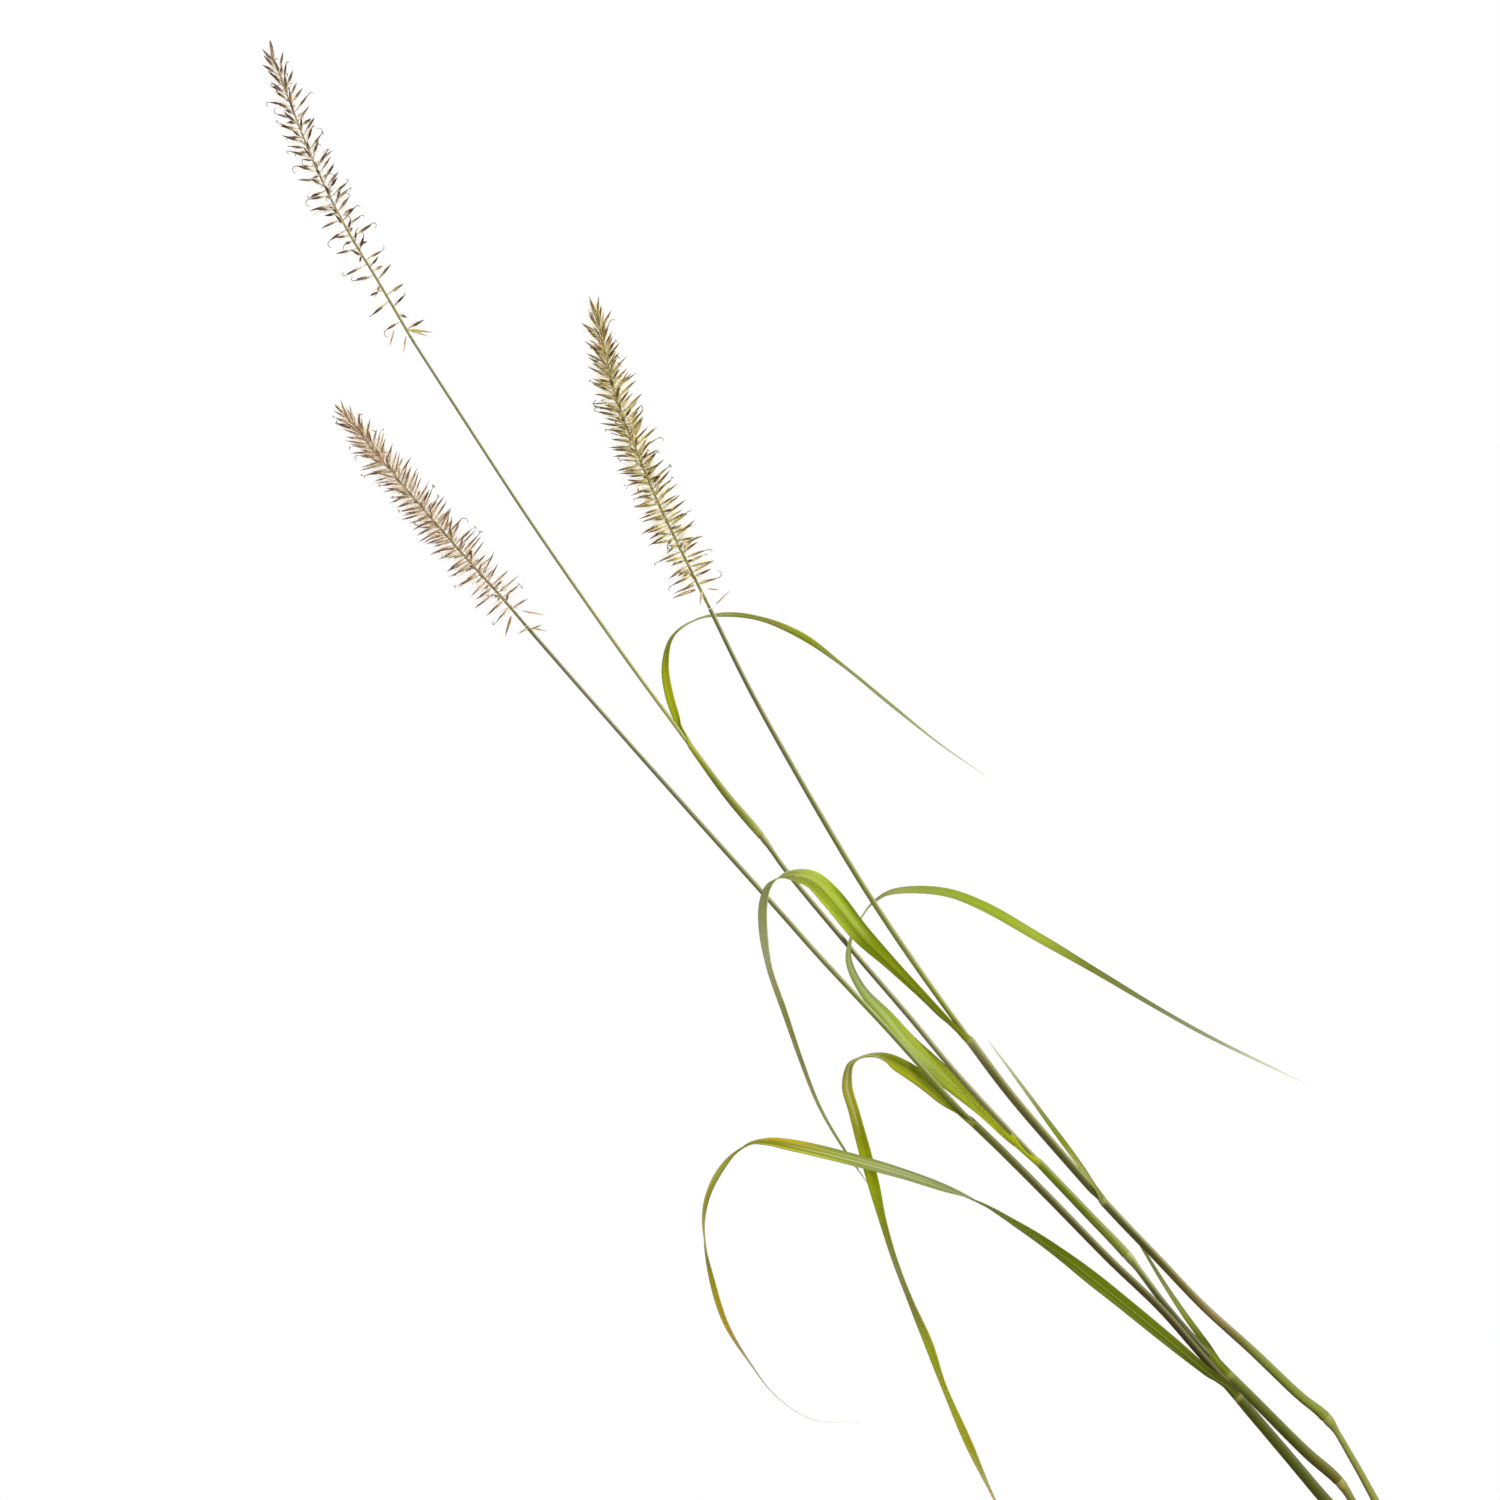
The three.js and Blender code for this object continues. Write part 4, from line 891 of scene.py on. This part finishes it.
# density: how thickly the spikelets stand along the axis
# loose: odd ones by their ends, radius and colour, as at the foot of each head
heads = {
    "a": {
        "path": [
            [-486, 78, 843], [-501.5, 81, 869.5], [-517.5, 84, 896], [-531, 88, 922.5], [-539, 90, 941],
            [-548, 93, 964], [-557, 95, 987],
        ],
        "count": 116, "density": [(0, 0.15), (0.25, 0.4), (0.45, 0.9), (0.85, 1), (1, 0.7)], "seed": 11,
        "tipSize": 1.2, "curls": 0.5, "bristles": 8, "stalk": 4.0, "husk": (7.6, 0.62), "down": 2,
        "axis": [(0, (110, 112, 66)), (0.6, (116, 112, 62)), (1, (104, 96, 58))], "dark": (64, 50, 42),
        "dusky": (72, 40, 52), "pale": (114, 106, 66), "haze": (252, 236, 216),
        "loose": [
            [(-488, 78, 847.5), (-475.5, 77, 846.6), 0.5, (146, 146, 70)],
            [(-488, 78, 847.5), (-477.7, 76, 844.5), 0.4, (136, 136, 66)],
            [(-494.6, 79, 847.3), (-496.7, 78, 839.5), 0.36, (130, 112, 84)],
            [(-488.9, 79, 844.5), (-490, 77, 836.5), 0.36, (130, 108, 90)],
        ],
    },
    "b": {
        "path": [
            [-342, -50, 709.5], [-349.5, -53, 724.5], [-365.5, -59, 757.5], [-376, -65, 783],
            [-383, -69, 801], [-388.5, -74, 823], [-393.5, -80, 846.5],
        ],
        "count": 208,
        "density": [(0, 0), (0.06, 0), (0.09, 0.5), (0.25, 0.75), (0.5, 1), (0.85, 1), (1, 0.5)],
        "seed": 23, "tipSize": 0.8, "curls": 0.12, "bristles": 15, "stalk": 2.7, "husk": (9.2, 0.5),
        "down": 3, "axis": [(0, (96, 98, 50)), (0.5, (112, 108, 44)), (1, (118, 104, 48))],
        "dark": (84, 72, 38), "dusky": (98, 56, 48), "pale": (138, 128, 72), "haze": (255, 245, 200),
        "loose": [
            [(-348.5, -53, 718), (-359, -60, 714.5), 0.7, (112, 78, 54)],
            [(-349, -53, 720), (-358.5, -58, 716.5), 0.5, (128, 98, 66)],
            [(-345.5, -56, 718), (-346.5, -60, 711), 0.5, (160, 132, 96)],
            [(-343, -52, 718.5), (-337.5, -54, 718), 0.3, (124, 118, 110)],
            [(-339.5, -52, 711.5), (-332.5, -54, 718.5), 0.26, (120, 114, 100)],
        ],
    },
    "c": {
        "path": [
            [-427.5, 10, 703.5], [-439.5, 11, 717.5], [-454.5, 12, 734], [-472, 13, 754], [-485, 13, 769],
            [-498, 14, 784.5], [-507, 14, 796], [-517, 15, 807.5],
        ],
        "count": 186,
        "density": [(0, 0), (0.05, 0), (0.08, 0.4), (0.25, 0.8), (0.5, 1), (0.85, 1), (1, 0.5)], "seed": 37,
        "tipSize": 0.62, "curls": 0.06, "bristles": 14, "stalk": 2.6, "husk": (9.2, 0.4), "down": 3,
        "axis": [(0, (92, 88, 46)), (0.4, (112, 104, 56)), (1, (132, 108, 72))], "dark": (92, 70, 54),
        "dusky": (96, 60, 58), "pale": (145, 123, 92), "haze": (255, 239, 213),
        "loose": [
            [(-425.5, 8, 702), (-420, 7, 704.5), 0.4, (140, 128, 60)],
            [(-426, 8, 703), (-431.5, 7, 700), 0.36, (132, 118, 60)],
            [(-425.5, 8, 702.5), (-417.5, 7, 701.5), 0.34, (140, 126, 70)],
            [(-434.5, 8, 708), (-437, 4, 699), 0.6, (128, 100, 74)],
            [(-429.5, 9, 710.5), (-418.5, 8, 709), 0.3, (140, 134, 110)],
        ],
    },
}

axisKind, huskKind, hairKind, antherKind = range(4)  # the order of a head's finishes

huskProfile = [
    (0, 0.4), (0.06, 0.7), (0.2, 0.95), (0.38, 1), (0.56, 0.86), (0.74, 0.56), (0.9, 0.24), (1, 0.04),
]
stalkProfile = [(0, 1), (0.5, 0.8), (1, 1.2)]
hairProfile = [(0, 1), (0.5, 0.75), (1, 0.12)]
sacProfile = [(0, 0.3), (0.25, 1), (0.5, 0.85), (0.75, 1), (1, 0.3)]


def spindle(work, base, direction, length, radius, profile, sides, tones, chance, kind, sag=0.0, flat=1.0):
    # a slim closed spindle along a direction, drooping a little towards its tip
    shares, sizes = np.array(profile).T
    middle = base + np.outer(shares * length, direction) - np.outer(sag * length * shares ** 2, [0, 0, 1])
    addTube(
        work, middle, *squareTo(np.array([direction])), (sizes * radius)[:, None],
        roundAngles(sides) + chance, blendTones(tones, shares)[:, None],
        (radius, (shares * length)[:, None], chance), kind, flat,
    )
    return middle[-1]


def hair(work, base, direction, length, tone, chance, sag=0.0, thickness=1.0):
    # a bristle of one colour
    tones = [(0, tone), (1, tone)]
    radius = headLook["bristleRadius"] * thickness
    spindle(work, base, direction, length, radius, hairProfile, 3, tones, chance, hairKind, sag)


def nudge(direction, amount, random):
    turned = direction + random.normal(0, amount, 3)
    return turned / np.linalg.norm(turned)


def makeCurl(work, tip, direction, chance, random):
    # a curled dark thread, as withered stigmas make
    look = headLook
    turn = random.uniform(*look["curlTurns"]) * random.choice([-1, 1])
    size = random.uniform(*look["curlSizes"])
    sideways = np.cross(direction, random.normal(0, 1, 3))
    sideways /= np.linalg.norm(sideways)
    steps = np.linspace(0, 1, 9)
    arc = steps * look["curlArc"] * abs(turn)
    ahead, aside = look["curlReach"]
    curl = tip + size * np.outer(np.sin(arc) * ahead, direction)
    curl += size * np.outer((1 - np.cos(arc)) * aside * np.sign(turn), sideways)
    _, headings = bend(curl, steps)
    thin = np.interp(steps, (0, 1), look["curlRadii"])[:, None]
    addTube(
        work, curl, *squareTo(headings), thin, roundAngles(5), look["curlTone"], (0, 0, chance), antherKind,
    )


def makeAnther(work, tip, direction, chance, random):
    # a sac that hangs crosswise on a thread
    look = headLook
    way = nudge(direction, look["threadSpread"], random)
    lengths, radius, flat = look["thread"]
    end = spindle(
        work, tip - direction * 1.5, way, random.uniform(*lengths), radius, stalkProfile, 3,
        look["threadTones"], chance, antherKind, 0.0, flat,
    )
    crosswise = nudge(np.cross(direction, random.normal(0, 1, 3)), look["sacSpread"], random)
    lengths, radius, flat = look["sac"]
    spindle(
        work, end - crosswise * 0.9, crosswise, random.uniform(*lengths), radius, sacProfile, 6,
        look["sacTones"], chance, antherKind, 0.0, flat,
    )


def makeSpikelet(work, head, share, place, direction, random):
    look = headLook
    dark, dusky, pale, haze = [np.array(head[part], float) for part in ("dark", "dusky", "pale", "haze")]
    size = np.interp(share, *zip(*look["lengths"], (1, head["tipSize"])))
    size += random.uniform(-1, 1) * look["lengthSpread"]
    chance = random.uniform(0, 6.28)
    deep = (dark + (dusky - dark) * random.uniform(0, 1) ** 2) * random.uniform(0.8, 1.15)
    straw = pale * random.uniform(0.88, 1.1)
    cream = pale * 0.6 + haze * 0.4
    husk = [(0, cream), (0.2, deep * 0.5 + straw * 0.5), (0.45, deep * 0.85 + straw * 0.15), (1, deep)]
    strawHusk = [(0, cream), (0.35, straw), (0.75, straw * 0.5 + deep * 0.5), (1, deep)]
    # the stalk
    stalk = head["stalk"] * size * (1 - 0.12 * share) * random.uniform(0.8, 1.25)
    stalkTones = [(0, straw), (1, cream)]
    foot = spindle(
        work, place, direction, stalk, look["stalkRadius"], stalkProfile, 4, stalkTones, chance, huskKind,
    )
    # two husks side by side, a dark one and a paler one that spreads, and a small scale at their foot
    length = head["husk"][0] * size
    radius = head["husk"][1] * random.uniform(0.8, 1.2)
    sag = random.uniform(-0.02, 0.06)
    tip = spindle(work, foot, direction, length, radius, huskProfile, 7, husk, chance, huskKind, sag, 0.8)
    spread, lengths, slim = look["paleHusk"]
    spindle(
        work, foot, nudge(direction, spread, random), length * random.uniform(*lengths), radius * slim,
        huskProfile, 6, strawHusk, chance + 1, huskKind, sag, 0.7,
    )
    spread, lengths, slim = look["scale"]
    spindle(
        work, foot, nudge(direction, spread, random), length * random.uniform(*lengths), radius * slim,
        huskProfile, 5, [(0, cream), (1, straw)], chance + 2, huskKind,
    )
    # the ring of fine bristles, the last of them a long one
    count = int(head["bristles"] * random.uniform(0.7, 1.2))
    for k in range(count + 1):
        short, long = look["longBristle"] if k == count else look["bristleLength"]
        way = nudge(direction, random.uniform(*look["bristleSpread"]), random)
        tone = np.minimum(haze * random.uniform(0.9, 1.06), 255)
        hair(
            work, foot - direction * stalk * 0.6, way, random.uniform(short, long) * size, tone, chance,
            random.uniform(-0.05, 0.08),
        )
    # short down by the axis
    for _ in range(head["down"]):
        way = nudge(direction, look["downSpread"], random)
        hair(
            work, place, way, random.uniform(*look["downLength"]), haze, chance, 0.0, look["downThickness"],
        )
    if random.random() < look["threads"]:
        for _ in range(random.integers(1, 3)):
            makeAnther(work, tip, direction, chance, random)
    if random.random() < head["curls"] and share < 0.9:
        makeCurl(work, tip - direction * 0.4, direction, chance, random)


def makeHead(key, head):
    look = headLook
    random = np.random.default_rng(head["seed"])
    work = newWork()
    fine = np.linspace(0, 1, 600)
    places, _ = bend(head["path"], fine)
    gone = lengthsAlong(places)
    at = lambda share: np.interp(share * gone[-1], gone, fine)
    # the axis, with small knuckles where the stalks stand
    shares = np.linspace(0.4 / gone[-1], look["axisShare"], look["axisRings"])
    centres, headings = bend(head["path"], at(shares))
    height, pace = look["knuckles"]
    knuckles = 1 + height * np.sin(np.arange(look["axisRings"]) * pace)
    radius = np.interp(shares, (0, 1), look["axisRadii"]) * knuckles
    addTube(
        work, centres, *squareTo(headings), radius[:, None], roundAngles(10),
        blendTones(head["axis"], shares)[:, None], (0.6, (shares * gone[-1])[:, None], 3.0), axisKind,
    )
    # the spikelets stand all round it
    stand = np.cumsum(np.interp(fine, *zip(*head["density"])))
    stand = (stand - stand[0]) / (stand[-1] - stand[0])
    for i in range(head["count"]):
        share = 0.015 + (look["axisShare"] - 0.018) * np.interp((i + 0.5) / head["count"], stand, fine)
        place, heading = bend(head["path"], [at(share)])
        wide, front = squareTo(heading)
        tilt = np.interp(share / look["axisShare"], *zip(*look["tilts"]))
        tilt = math.radians(tilt + random.uniform(-1, 1) * look["tiltSpread"])
        bearing = math.radians(i * look["goldenAngle"] + random.uniform(-1, 1) * look["turnSpread"])
        outward, _ = turnPair(wide[0], front[0], bearing)
        direction = heading[0] * math.cos(tilt) + math.sin(tilt) * outward
        makeSpikelet(work, head, share, place[0], direction / np.linalg.norm(direction), random)
    haze = head["haze"]
    for start, end, radius, tone in head["loose"]:
        span = np.subtract(end, start).astype(float)
        length = np.linalg.norm(span)
        way = span / length
        chance = random.uniform(0, 6.28)
        tone = np.array(tone, float)
        tones = [(0, tone * 1.15), (0.5, tone), (1, tone * 0.75)]
        spindle(work, start, way, length, radius, huskProfile, 8, tones, chance, huskKind, 0.05, 0.6)
        for _ in range(look["looseBristles"]):
            hair(work, start, nudge(way, 0.12, random), length * random.uniform(0.7, 1.15), haze, chance)
    finishes = [culmSkin, huskSkin, bristleHair, antherSkin]
    finishPiece(f"head_{key}_bloom", work, finishes, f"head_{key}")


for key, head in heads.items():
    makeHead(key, head)
print("flower heads made")


# the pot

potLook = {
    "height": 190, "rimRadius": 112, "rimBand": 38, "rimStep": 6, "bodyTopRadius": 102, "baseRadius": 77,
    "wall": 8, "floor": 10, "edge": 2.5, "innerEdge": 2, "sides": 128,
    "drainCount": 3, "drainRadius": 6, "drainRing": 38, "drainSides": 32, "sharp": 40,
    "clay": paint(186, 104, 66), "darkClay": paint(150, 76, 46), "bloom": paint(214, 186, 160),
    "speck": (0.55, 0.42, 0.34),
}


def innerRadius(height):
    foot, rim = potLook["baseRadius"] - potLook["wall"] + 2, potLook["rimRadius"] - potLook["wall"]
    return foot + (rim - foot) * (height - potLook["floor"]) / (potLook["height"] - potLook["floor"])


def clayFinish():
    p = potLook
    finish, tree, shader = newFinish("clay", gloss=0.25)
    place = addNode(tree, "ShaderNodeTexCoord").outputs["Object"]
    clouds = noise(tree, place, 14.0, 6.0, 0.6)
    grit = noise(tree, place, 900.0)
    turned = stretched(tree, place, (3, 3, 420), 3.0)
    body = mixTones(
        tree, "MIX", ranged(tree, clouds, 0, 1, 0.35, 0.65), (*p["darkClay"], 1), (*p["clay"], 1),
    )
    # a pale bloom in patches, strongest near the foot
    height = addNode(tree, "ShaderNodeSeparateXYZ", {0: place}).outputs["Z"]
    low = ranged(tree, height, 0.75, 0.0, 0.0, 0.07)
    strength = addNode(tree, "ShaderNodeMath", {0: low, 1: 0.25}, operation="ADD").outputs[0]
    patchy = ranged(tree, noise(tree, place, 26.0, 8.0, 0.7), 0.06, 0.75, 0.45, 0.75)
    patches = addNode(tree, "ShaderNodeMath", {0: patchy, 1: strength}, operation="MULTIPLY").outputs[0]
    limed = mixTones(tree, "MIX", patches, body, (*p["bloom"], 1))
    specks = mixTones(tree, "MULTIPLY", ranged(tree, grit, 0.0, 0.35, 0.5, 0.75), limed, (*p["speck"], 1))
    tree.links.new(specks, shader.inputs["Base Color"])
    tree.links.new(ranged(tree, clouds, 0.78, 0.92), shader.inputs["Roughness"])
    # fine turning lines and grit stand out of it
    lines = addNode(tree, "ShaderNodeBump", {"Height": turned, "Strength": 0.35, "Distance": 0.0006})
    grains = addNode(tree, "ShaderNodeBump", {
        "Height": grit, "Strength": 0.35, "Distance": 0.0003, "Normal": lines.outputs[0],
    })
    tree.links.new(grains.outputs[0], shader.inputs["Normal"])
    return finish


def potProfile():
    # radius and height of each ring, from the base up the outside, over the rim and down the inside
    p = potLook
    base, body, rim = p["baseRadius"], p["bodyTopRadius"], p["rimRadius"]
    height, floor, edge, inner, step = p["height"], p["floor"], p["edge"], p["innerEdge"], p["rimStep"]
    bandFoot = height - p["rimBand"]
    corner = lambda r, z, size, start, end: [
        (r + size * math.cos(math.radians(a)), z + size * math.sin(math.radians(a)))
        for a in np.linspace(start, end, 5)
    ]
    side = [
        (base + (body - base) * c + 0.25 * math.sin(c * 60), edge + (bandFoot - edge) * c)
        for c in np.linspace(0.04, 0.97, 24)
    ]
    band = [
        (rim - 1 + c + 0.15 * math.sin(c * 21), bandFoot + step + (p["rimBand"] - step - edge - 0.5) * c)
        for c in np.linspace(0.1, 0.98, 9)
    ]
    inside = [(innerRadius(z), z) for z in np.linspace(height - 8, floor + 1, 16)]
    return [
        (20, 0), (45, 0), *corner(base - edge, edge, edge, -90, 0), *side,
        (body, bandFoot), (body + 3, bandFoot + 0.3),
        (rim - edge, bandFoot + step / 3), (rim - 1, bandFoot + step),
        *band, *corner(rim - edge, height - edge, edge, 0, 90),
        *corner(innerRadius(height) + inner, height - inner, inner, 90, 180), *inside,
        (innerRadius(floor) - inner, floor), (45, floor), (20, floor),
    ]


def makeDrill():
    # round bars to cut the drain holes with
    p = potLook
    sides = p["drainSides"]
    corners, faces = [], []
    for hole in range(p["drainCount"]):
        bearing = 2 * math.pi * (hole + 0.5) / p["drainCount"]
        middle = np.array([p["drainRing"] * math.cos(bearing), p["drainRing"] * math.sin(bearing)])
        first = len(corners)
        for z in (-2.0, p["floor"] + 2.0):
            for a in roundAngles(sides):
                corners.append((*(middle + p["drainRadius"] * np.array([math.cos(a), math.sin(a)])), z))
        quads, _ = tubeFaces(2, sides)
        low, high = list(range(first, first + sides)), list(range(first + sides, first + 2 * sides))
        faces += (quads + first).tolist() + [low[::-1], high]
    mesh = bpy.data.meshes.new("drainCutters")
    mesh.from_pydata((np.array(corners) * mm).tolist(), [], faces)
    return putInScene("drainCutters", mesh)


def makePot():
    profile, sides = potProfile(), potLook["sides"]
    points = [(r * math.cos(a), r * math.sin(a), z) for r, z in profile for a in roundAngles(sides)]
    below, last = len(points), len(points) - sides
    points += [(0, 0, 0), (0, 0, potLook["floor"])]
    quads, _ = tubeFaces(len(profile), sides)
    fans = [[below, (i + 1) % sides, i] for i in range(sides)]
    fans += [[below + 1, last + i, last + (i + 1) % sides] for i in range(sides)]
    mesh = bpy.data.meshes.new("potBody")
    mesh.from_pydata((np.array(points) * mm).tolist(), [], quads.tolist() + fans)
    pot = putInScene("pot_clay", mesh)
    drill = makeDrill()
    cut = pot.modifiers.new("drains", "BOOLEAN")
    cut.operation = "DIFFERENCE"
    cut.object = drill
    graph = bpy.context.evaluated_depsgraph_get()
    finished = bpy.data.meshes.new_from_object(pot.evaluated_get(graph))
    pot.modifiers.clear()
    pot.data = finished
    bpy.data.objects.remove(drill)
    finished.materials.clear()
    finished.materials.append(clayFinish())
    finished.shade_smooth()
    finished.set_sharp_from_angle(angle=math.radians(potLook["sharp"]))
    takePlace(pot, "pot")
    print(f"pot_clay: {len(finished.polygons)} faces")


makePot()
print("pot made")


# the soil

# lumps: how many, sizes, shape, colour and shades of the crumbs, the bark chips and the grit
soilLook = {
    "top": 172, "gap": 0.4, "unevenness": 2.6, "waveLengths": (88, 76, 48), "rings": 56, "sides": 128,
    "roughness": 1.3, "darkest": paint(40, 28, 20), "plain": paint(62, 44, 32), "lumpSpread": (0.72, 1.25),
    "lumps": [
        (620, (1.0, 3.2), (1, 0.9, 0.7), paint(62, 44, 32), (0.5, 1.3)),
        (120, (2.5, 5.5), (1, 0.5, 0.3), paint(96, 66, 42), (0.5, 1.2)),
        (70, (0.8, 1.7), (1, 1, 0.9), paint(206, 200, 188), (0.7, 1.0)),
    ],
}


def soilTop(x, y):
    alongX, alongY, aslant = [2 * math.pi / length for length in soilLook["waveLengths"]]
    roll = np.sin(x * alongX) * np.cos(y * alongY) + 0.5 * np.sin((x - y) * aslant)
    toRim = 1 - np.hypot(x, y) / innerRadius(soilLook["top"])
    return soilLook["top"] + soilLook["unevenness"] * roll * np.minimum(1, 3 * toRim)


def makeSoil():
    s = soilLook
    random = np.random.default_rng(77)
    work = newWork()
    reach = innerRadius(s["top"]) - s["gap"]
    bottom = potLook["floor"] + s["gap"]
    foot = innerRadius(bottom) - s["gap"]
    angles = roundAngles(s["sides"])
    rows = [np.stack([foot * np.cos(angles), foot * np.sin(angles), np.full(s["sides"], bottom)], -1)]
    tones = [np.tile(s["darkest"], (s["sides"], 1))]
    for r in np.linspace(reach, 1.5, s["rings"]):
        x, y = r * np.cos(angles), r * np.sin(angles)
        rough = random.normal(0, s["roughness"], s["sides"]) * min(1, (reach - r) / 6) * min(1, r / 30)
        rows.append(np.stack([x, y, soilTop(x, y) + rough - 0.5], -1))
        tones.append(blend(s["darkest"], s["plain"], random.uniform(0, 1, (s["sides"], 1))))
    addPart(work, rows, *tubeFaces(len(rows), s["sides"]), tones, rows)
    # crumbs, bark chips and grit lie on it
    ball = bmesh.new()
    bmesh.ops.create_icosphere(ball, subdivisions=1, radius=1)
    corners = np.array([v.co[:] for v in ball.verts])
    faces = np.array([[v.index for v in f.verts] for f in ball.faces])
    ball.free()
    for count, sizes, form, tone, shades in s["lumps"]:
        for _ in range(count):
            r = (reach - 5) * math.sqrt(random.uniform(0.002, 1))
            a = random.uniform(0, 2 * math.pi)
            size = random.uniform(*sizes)
            x, y = r * math.cos(a), r * math.sin(a)
            lump = corners * random.uniform(*s["lumpSpread"], (len(corners), 1)) * np.array(form) * size
            turn, lean = random.uniform(0, 6.28), random.uniform(-0.5, 0.5)
            c, d = math.cos(turn), math.sin(turn)
            spin = np.array([[c, -d, 0], [d, c, 0], [0, 0, 1]])
            c, d = math.cos(lean), math.sin(lean)
            tip = np.array([[1, 0, 0], [0, c, -d], [0, d, c]])
            lump = lump @ (spin @ tip).T + np.array([x, y, soilTop(x, y) + size * form[2] * 0.25])
            addPart(work, lump, [], faces, np.array(tone) * random.uniform(*shades), lump)
    finish = grownFinish(
        "pottingMix", {"scale": (1.6, 1.6, 1.6), "depth": 0.35},
        {"scale": (0.25, 0.25, 0.25), "depth": 0.4, "tone": s["darkest"]}, 0.88, 0.9,
    )
    finishPiece("soil_mix", work, [finish], "soil")


makeSoil()
print("soil made")


# the short shoots round the crown

# blades: turn away from the shoot's bearing, and how high on the stub each one leaves it
shootLook = {
    "bearings": [8, 66, 124, 238, 302], "ring": 27, "foot": 117.5, "straight": 150,
    "stubRadius": 2.6, "stubHeight": 30, "stubLean": 9, "stubRings": 22, "stubSides": 16,
    "leanShares": [(0.15, 0), (0.55, 0.35), (1, 1)], "radiusShares": [(0.15, 1), (0.55, 0.85), (1, 0.5)],
    "stubTones": [
        (117, (170, 150, 104)), (176, (176, 160, 112)), (190, (150, 160, 84)), (203, (130, 150, 50)),
    ],
    "blades": [(-22, 0.35), (14, 0.52), (-9, 0.72), (24, 0.9)], "across": 11, "stations": 46,
    "length": (125, 175), "width": (5, 6.4), "firstRise": (64, 78), "lastDip": (-60, -35), "steps": 5,
    "widthShares": [(0, 0.6), (0.3, 1), (0.7, 0.75), (1, 0.12)], "fold": 0.22, "foldAtFoot": 0.35,
    "thickness": 0.34, "marginThinner": 0.2, "fullWidth": 5, "keel": 0.28,
    "tones": [
        (0, (150, 160, 80), (150, 160, 90)), (0.25, (124, 148, 40), (132, 152, 60)),
        (0.7, (112, 140, 34), (124, 146, 52)), (0.9, (140, 148, 60), (144, 150, 70)), (1, (190, 172, 112)),
    ],
}


def evenRandom(seed):
    # the same draws from 0 to 1 that the solids of the shoots were made with
    state = seed * 7919 + 17
    while True:
        state = state * 16807 % 2147483647
        yield state / 2147483647


def makeShootBlade(work, start, bearing, lengths, chance):
    s = shootLook
    length, width, rise, dip = lengths
    u = np.linspace(-1, 1, s["across"])
    out = np.array([math.cos(bearing), math.sin(bearing), 0])
    across = np.array([-math.sin(bearing), math.cos(bearing), 0])
    corners = [start]
    for step in range(s["steps"]):
        slope = math.radians(rise + (dip - rise) * step / s["steps"])
        way = out * math.cos(slope) + np.array([0, 0, math.sin(slope)])
        corners.append(corners[-1] + way * length / s["steps"])
    shares = np.linspace(0, 1, s["stations"])
    places, headings = bend(corners, shares)
    stations = []
    for place, heading, t in zip(places, headings, shares):
        up = np.cross(heading, across)
        up /= np.linalg.norm(up)
        w = width * np.interp(t, *zip(*s["widthShares"])) * min(1, 0.15 + math.sqrt((1 - t) * 6))
        x, z = foldedSection(u, w / 2, s["fold"])
        rolled = s["foldAtFoot"] * ease(1 - t * 7)
        stations.append({
            "middle": place, "across": across, "up": up,
            "section": (x * (1 - rolled), z + rolled * (w / 2) * np.abs(u) ** 1.5),
            "thick": (s["thickness"] - s["marginThinner"] * u ** 2) * min(1, 0.4 + w / s["fullWidth"]),
            "keel": s["keel"] * (1 - 0.7 * t), "tones": bladeTones(s["tones"], [], t, u), "gone": length * t,
        })
    sweepLeaf(work, stations, u, chance)


def makeShoots():
    s = shootLook
    draws = evenRandom(5)
    pick = lambda pair: pair[0] + (pair[1] - pair[0]) * next(draws)
    for order, bearing in enumerate(s["bearings"]):
        work = newWork()
        outward = np.array([math.cos(math.radians(bearing)), math.sin(math.radians(bearing)), 0])
        foot = outward * s["ring"]

        def stubAt(share):
            lean = s["stubLean"] * np.interp(share, *zip(*s["leanShares"]))
            return foot + outward * lean + np.array([0, 0, soilLook["top"] + s["stubHeight"] * share])

        shares = np.linspace(0, 1, s["stubRings"])
        centres = np.vstack([
            [*foot[:2], s["foot"]], [*foot[:2], s["straight"]], *[stubAt(share) for share in shares],
        ])
        slims = np.interp(shares, *zip(*s["radiusShares"]))
        radii = s["stubRadius"] * np.concatenate([[1, 1], slims])
        addTube(
            work, centres, np.array([[1, 0, 0]]), np.array([[0, 1, 0]]), radii[:, None],
            roundAngles(s["stubSides"]), blendTones(s["stubTones"], centres[:, 2])[:, None],
            (2.4, centres[:, 2:], float(order)),
        )
        for bladeOrder, (turn, share) in enumerate(s["blades"]):
            lengths = [pick(s[part]) for part in ("length", "width", "firstRise", "lastDip")]
            chance = 11.0 * order + bladeOrder
            makeShootBlade(work, stubAt(share), math.radians(bearing + turn), lengths, chance)
        finishPiece(f"shoot_{order + 1}_blades", work, [bladeSkin], f"shoot_{order + 1}")


makeShoots()
print("shoots made")

shownBox = [list(corner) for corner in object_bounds()]
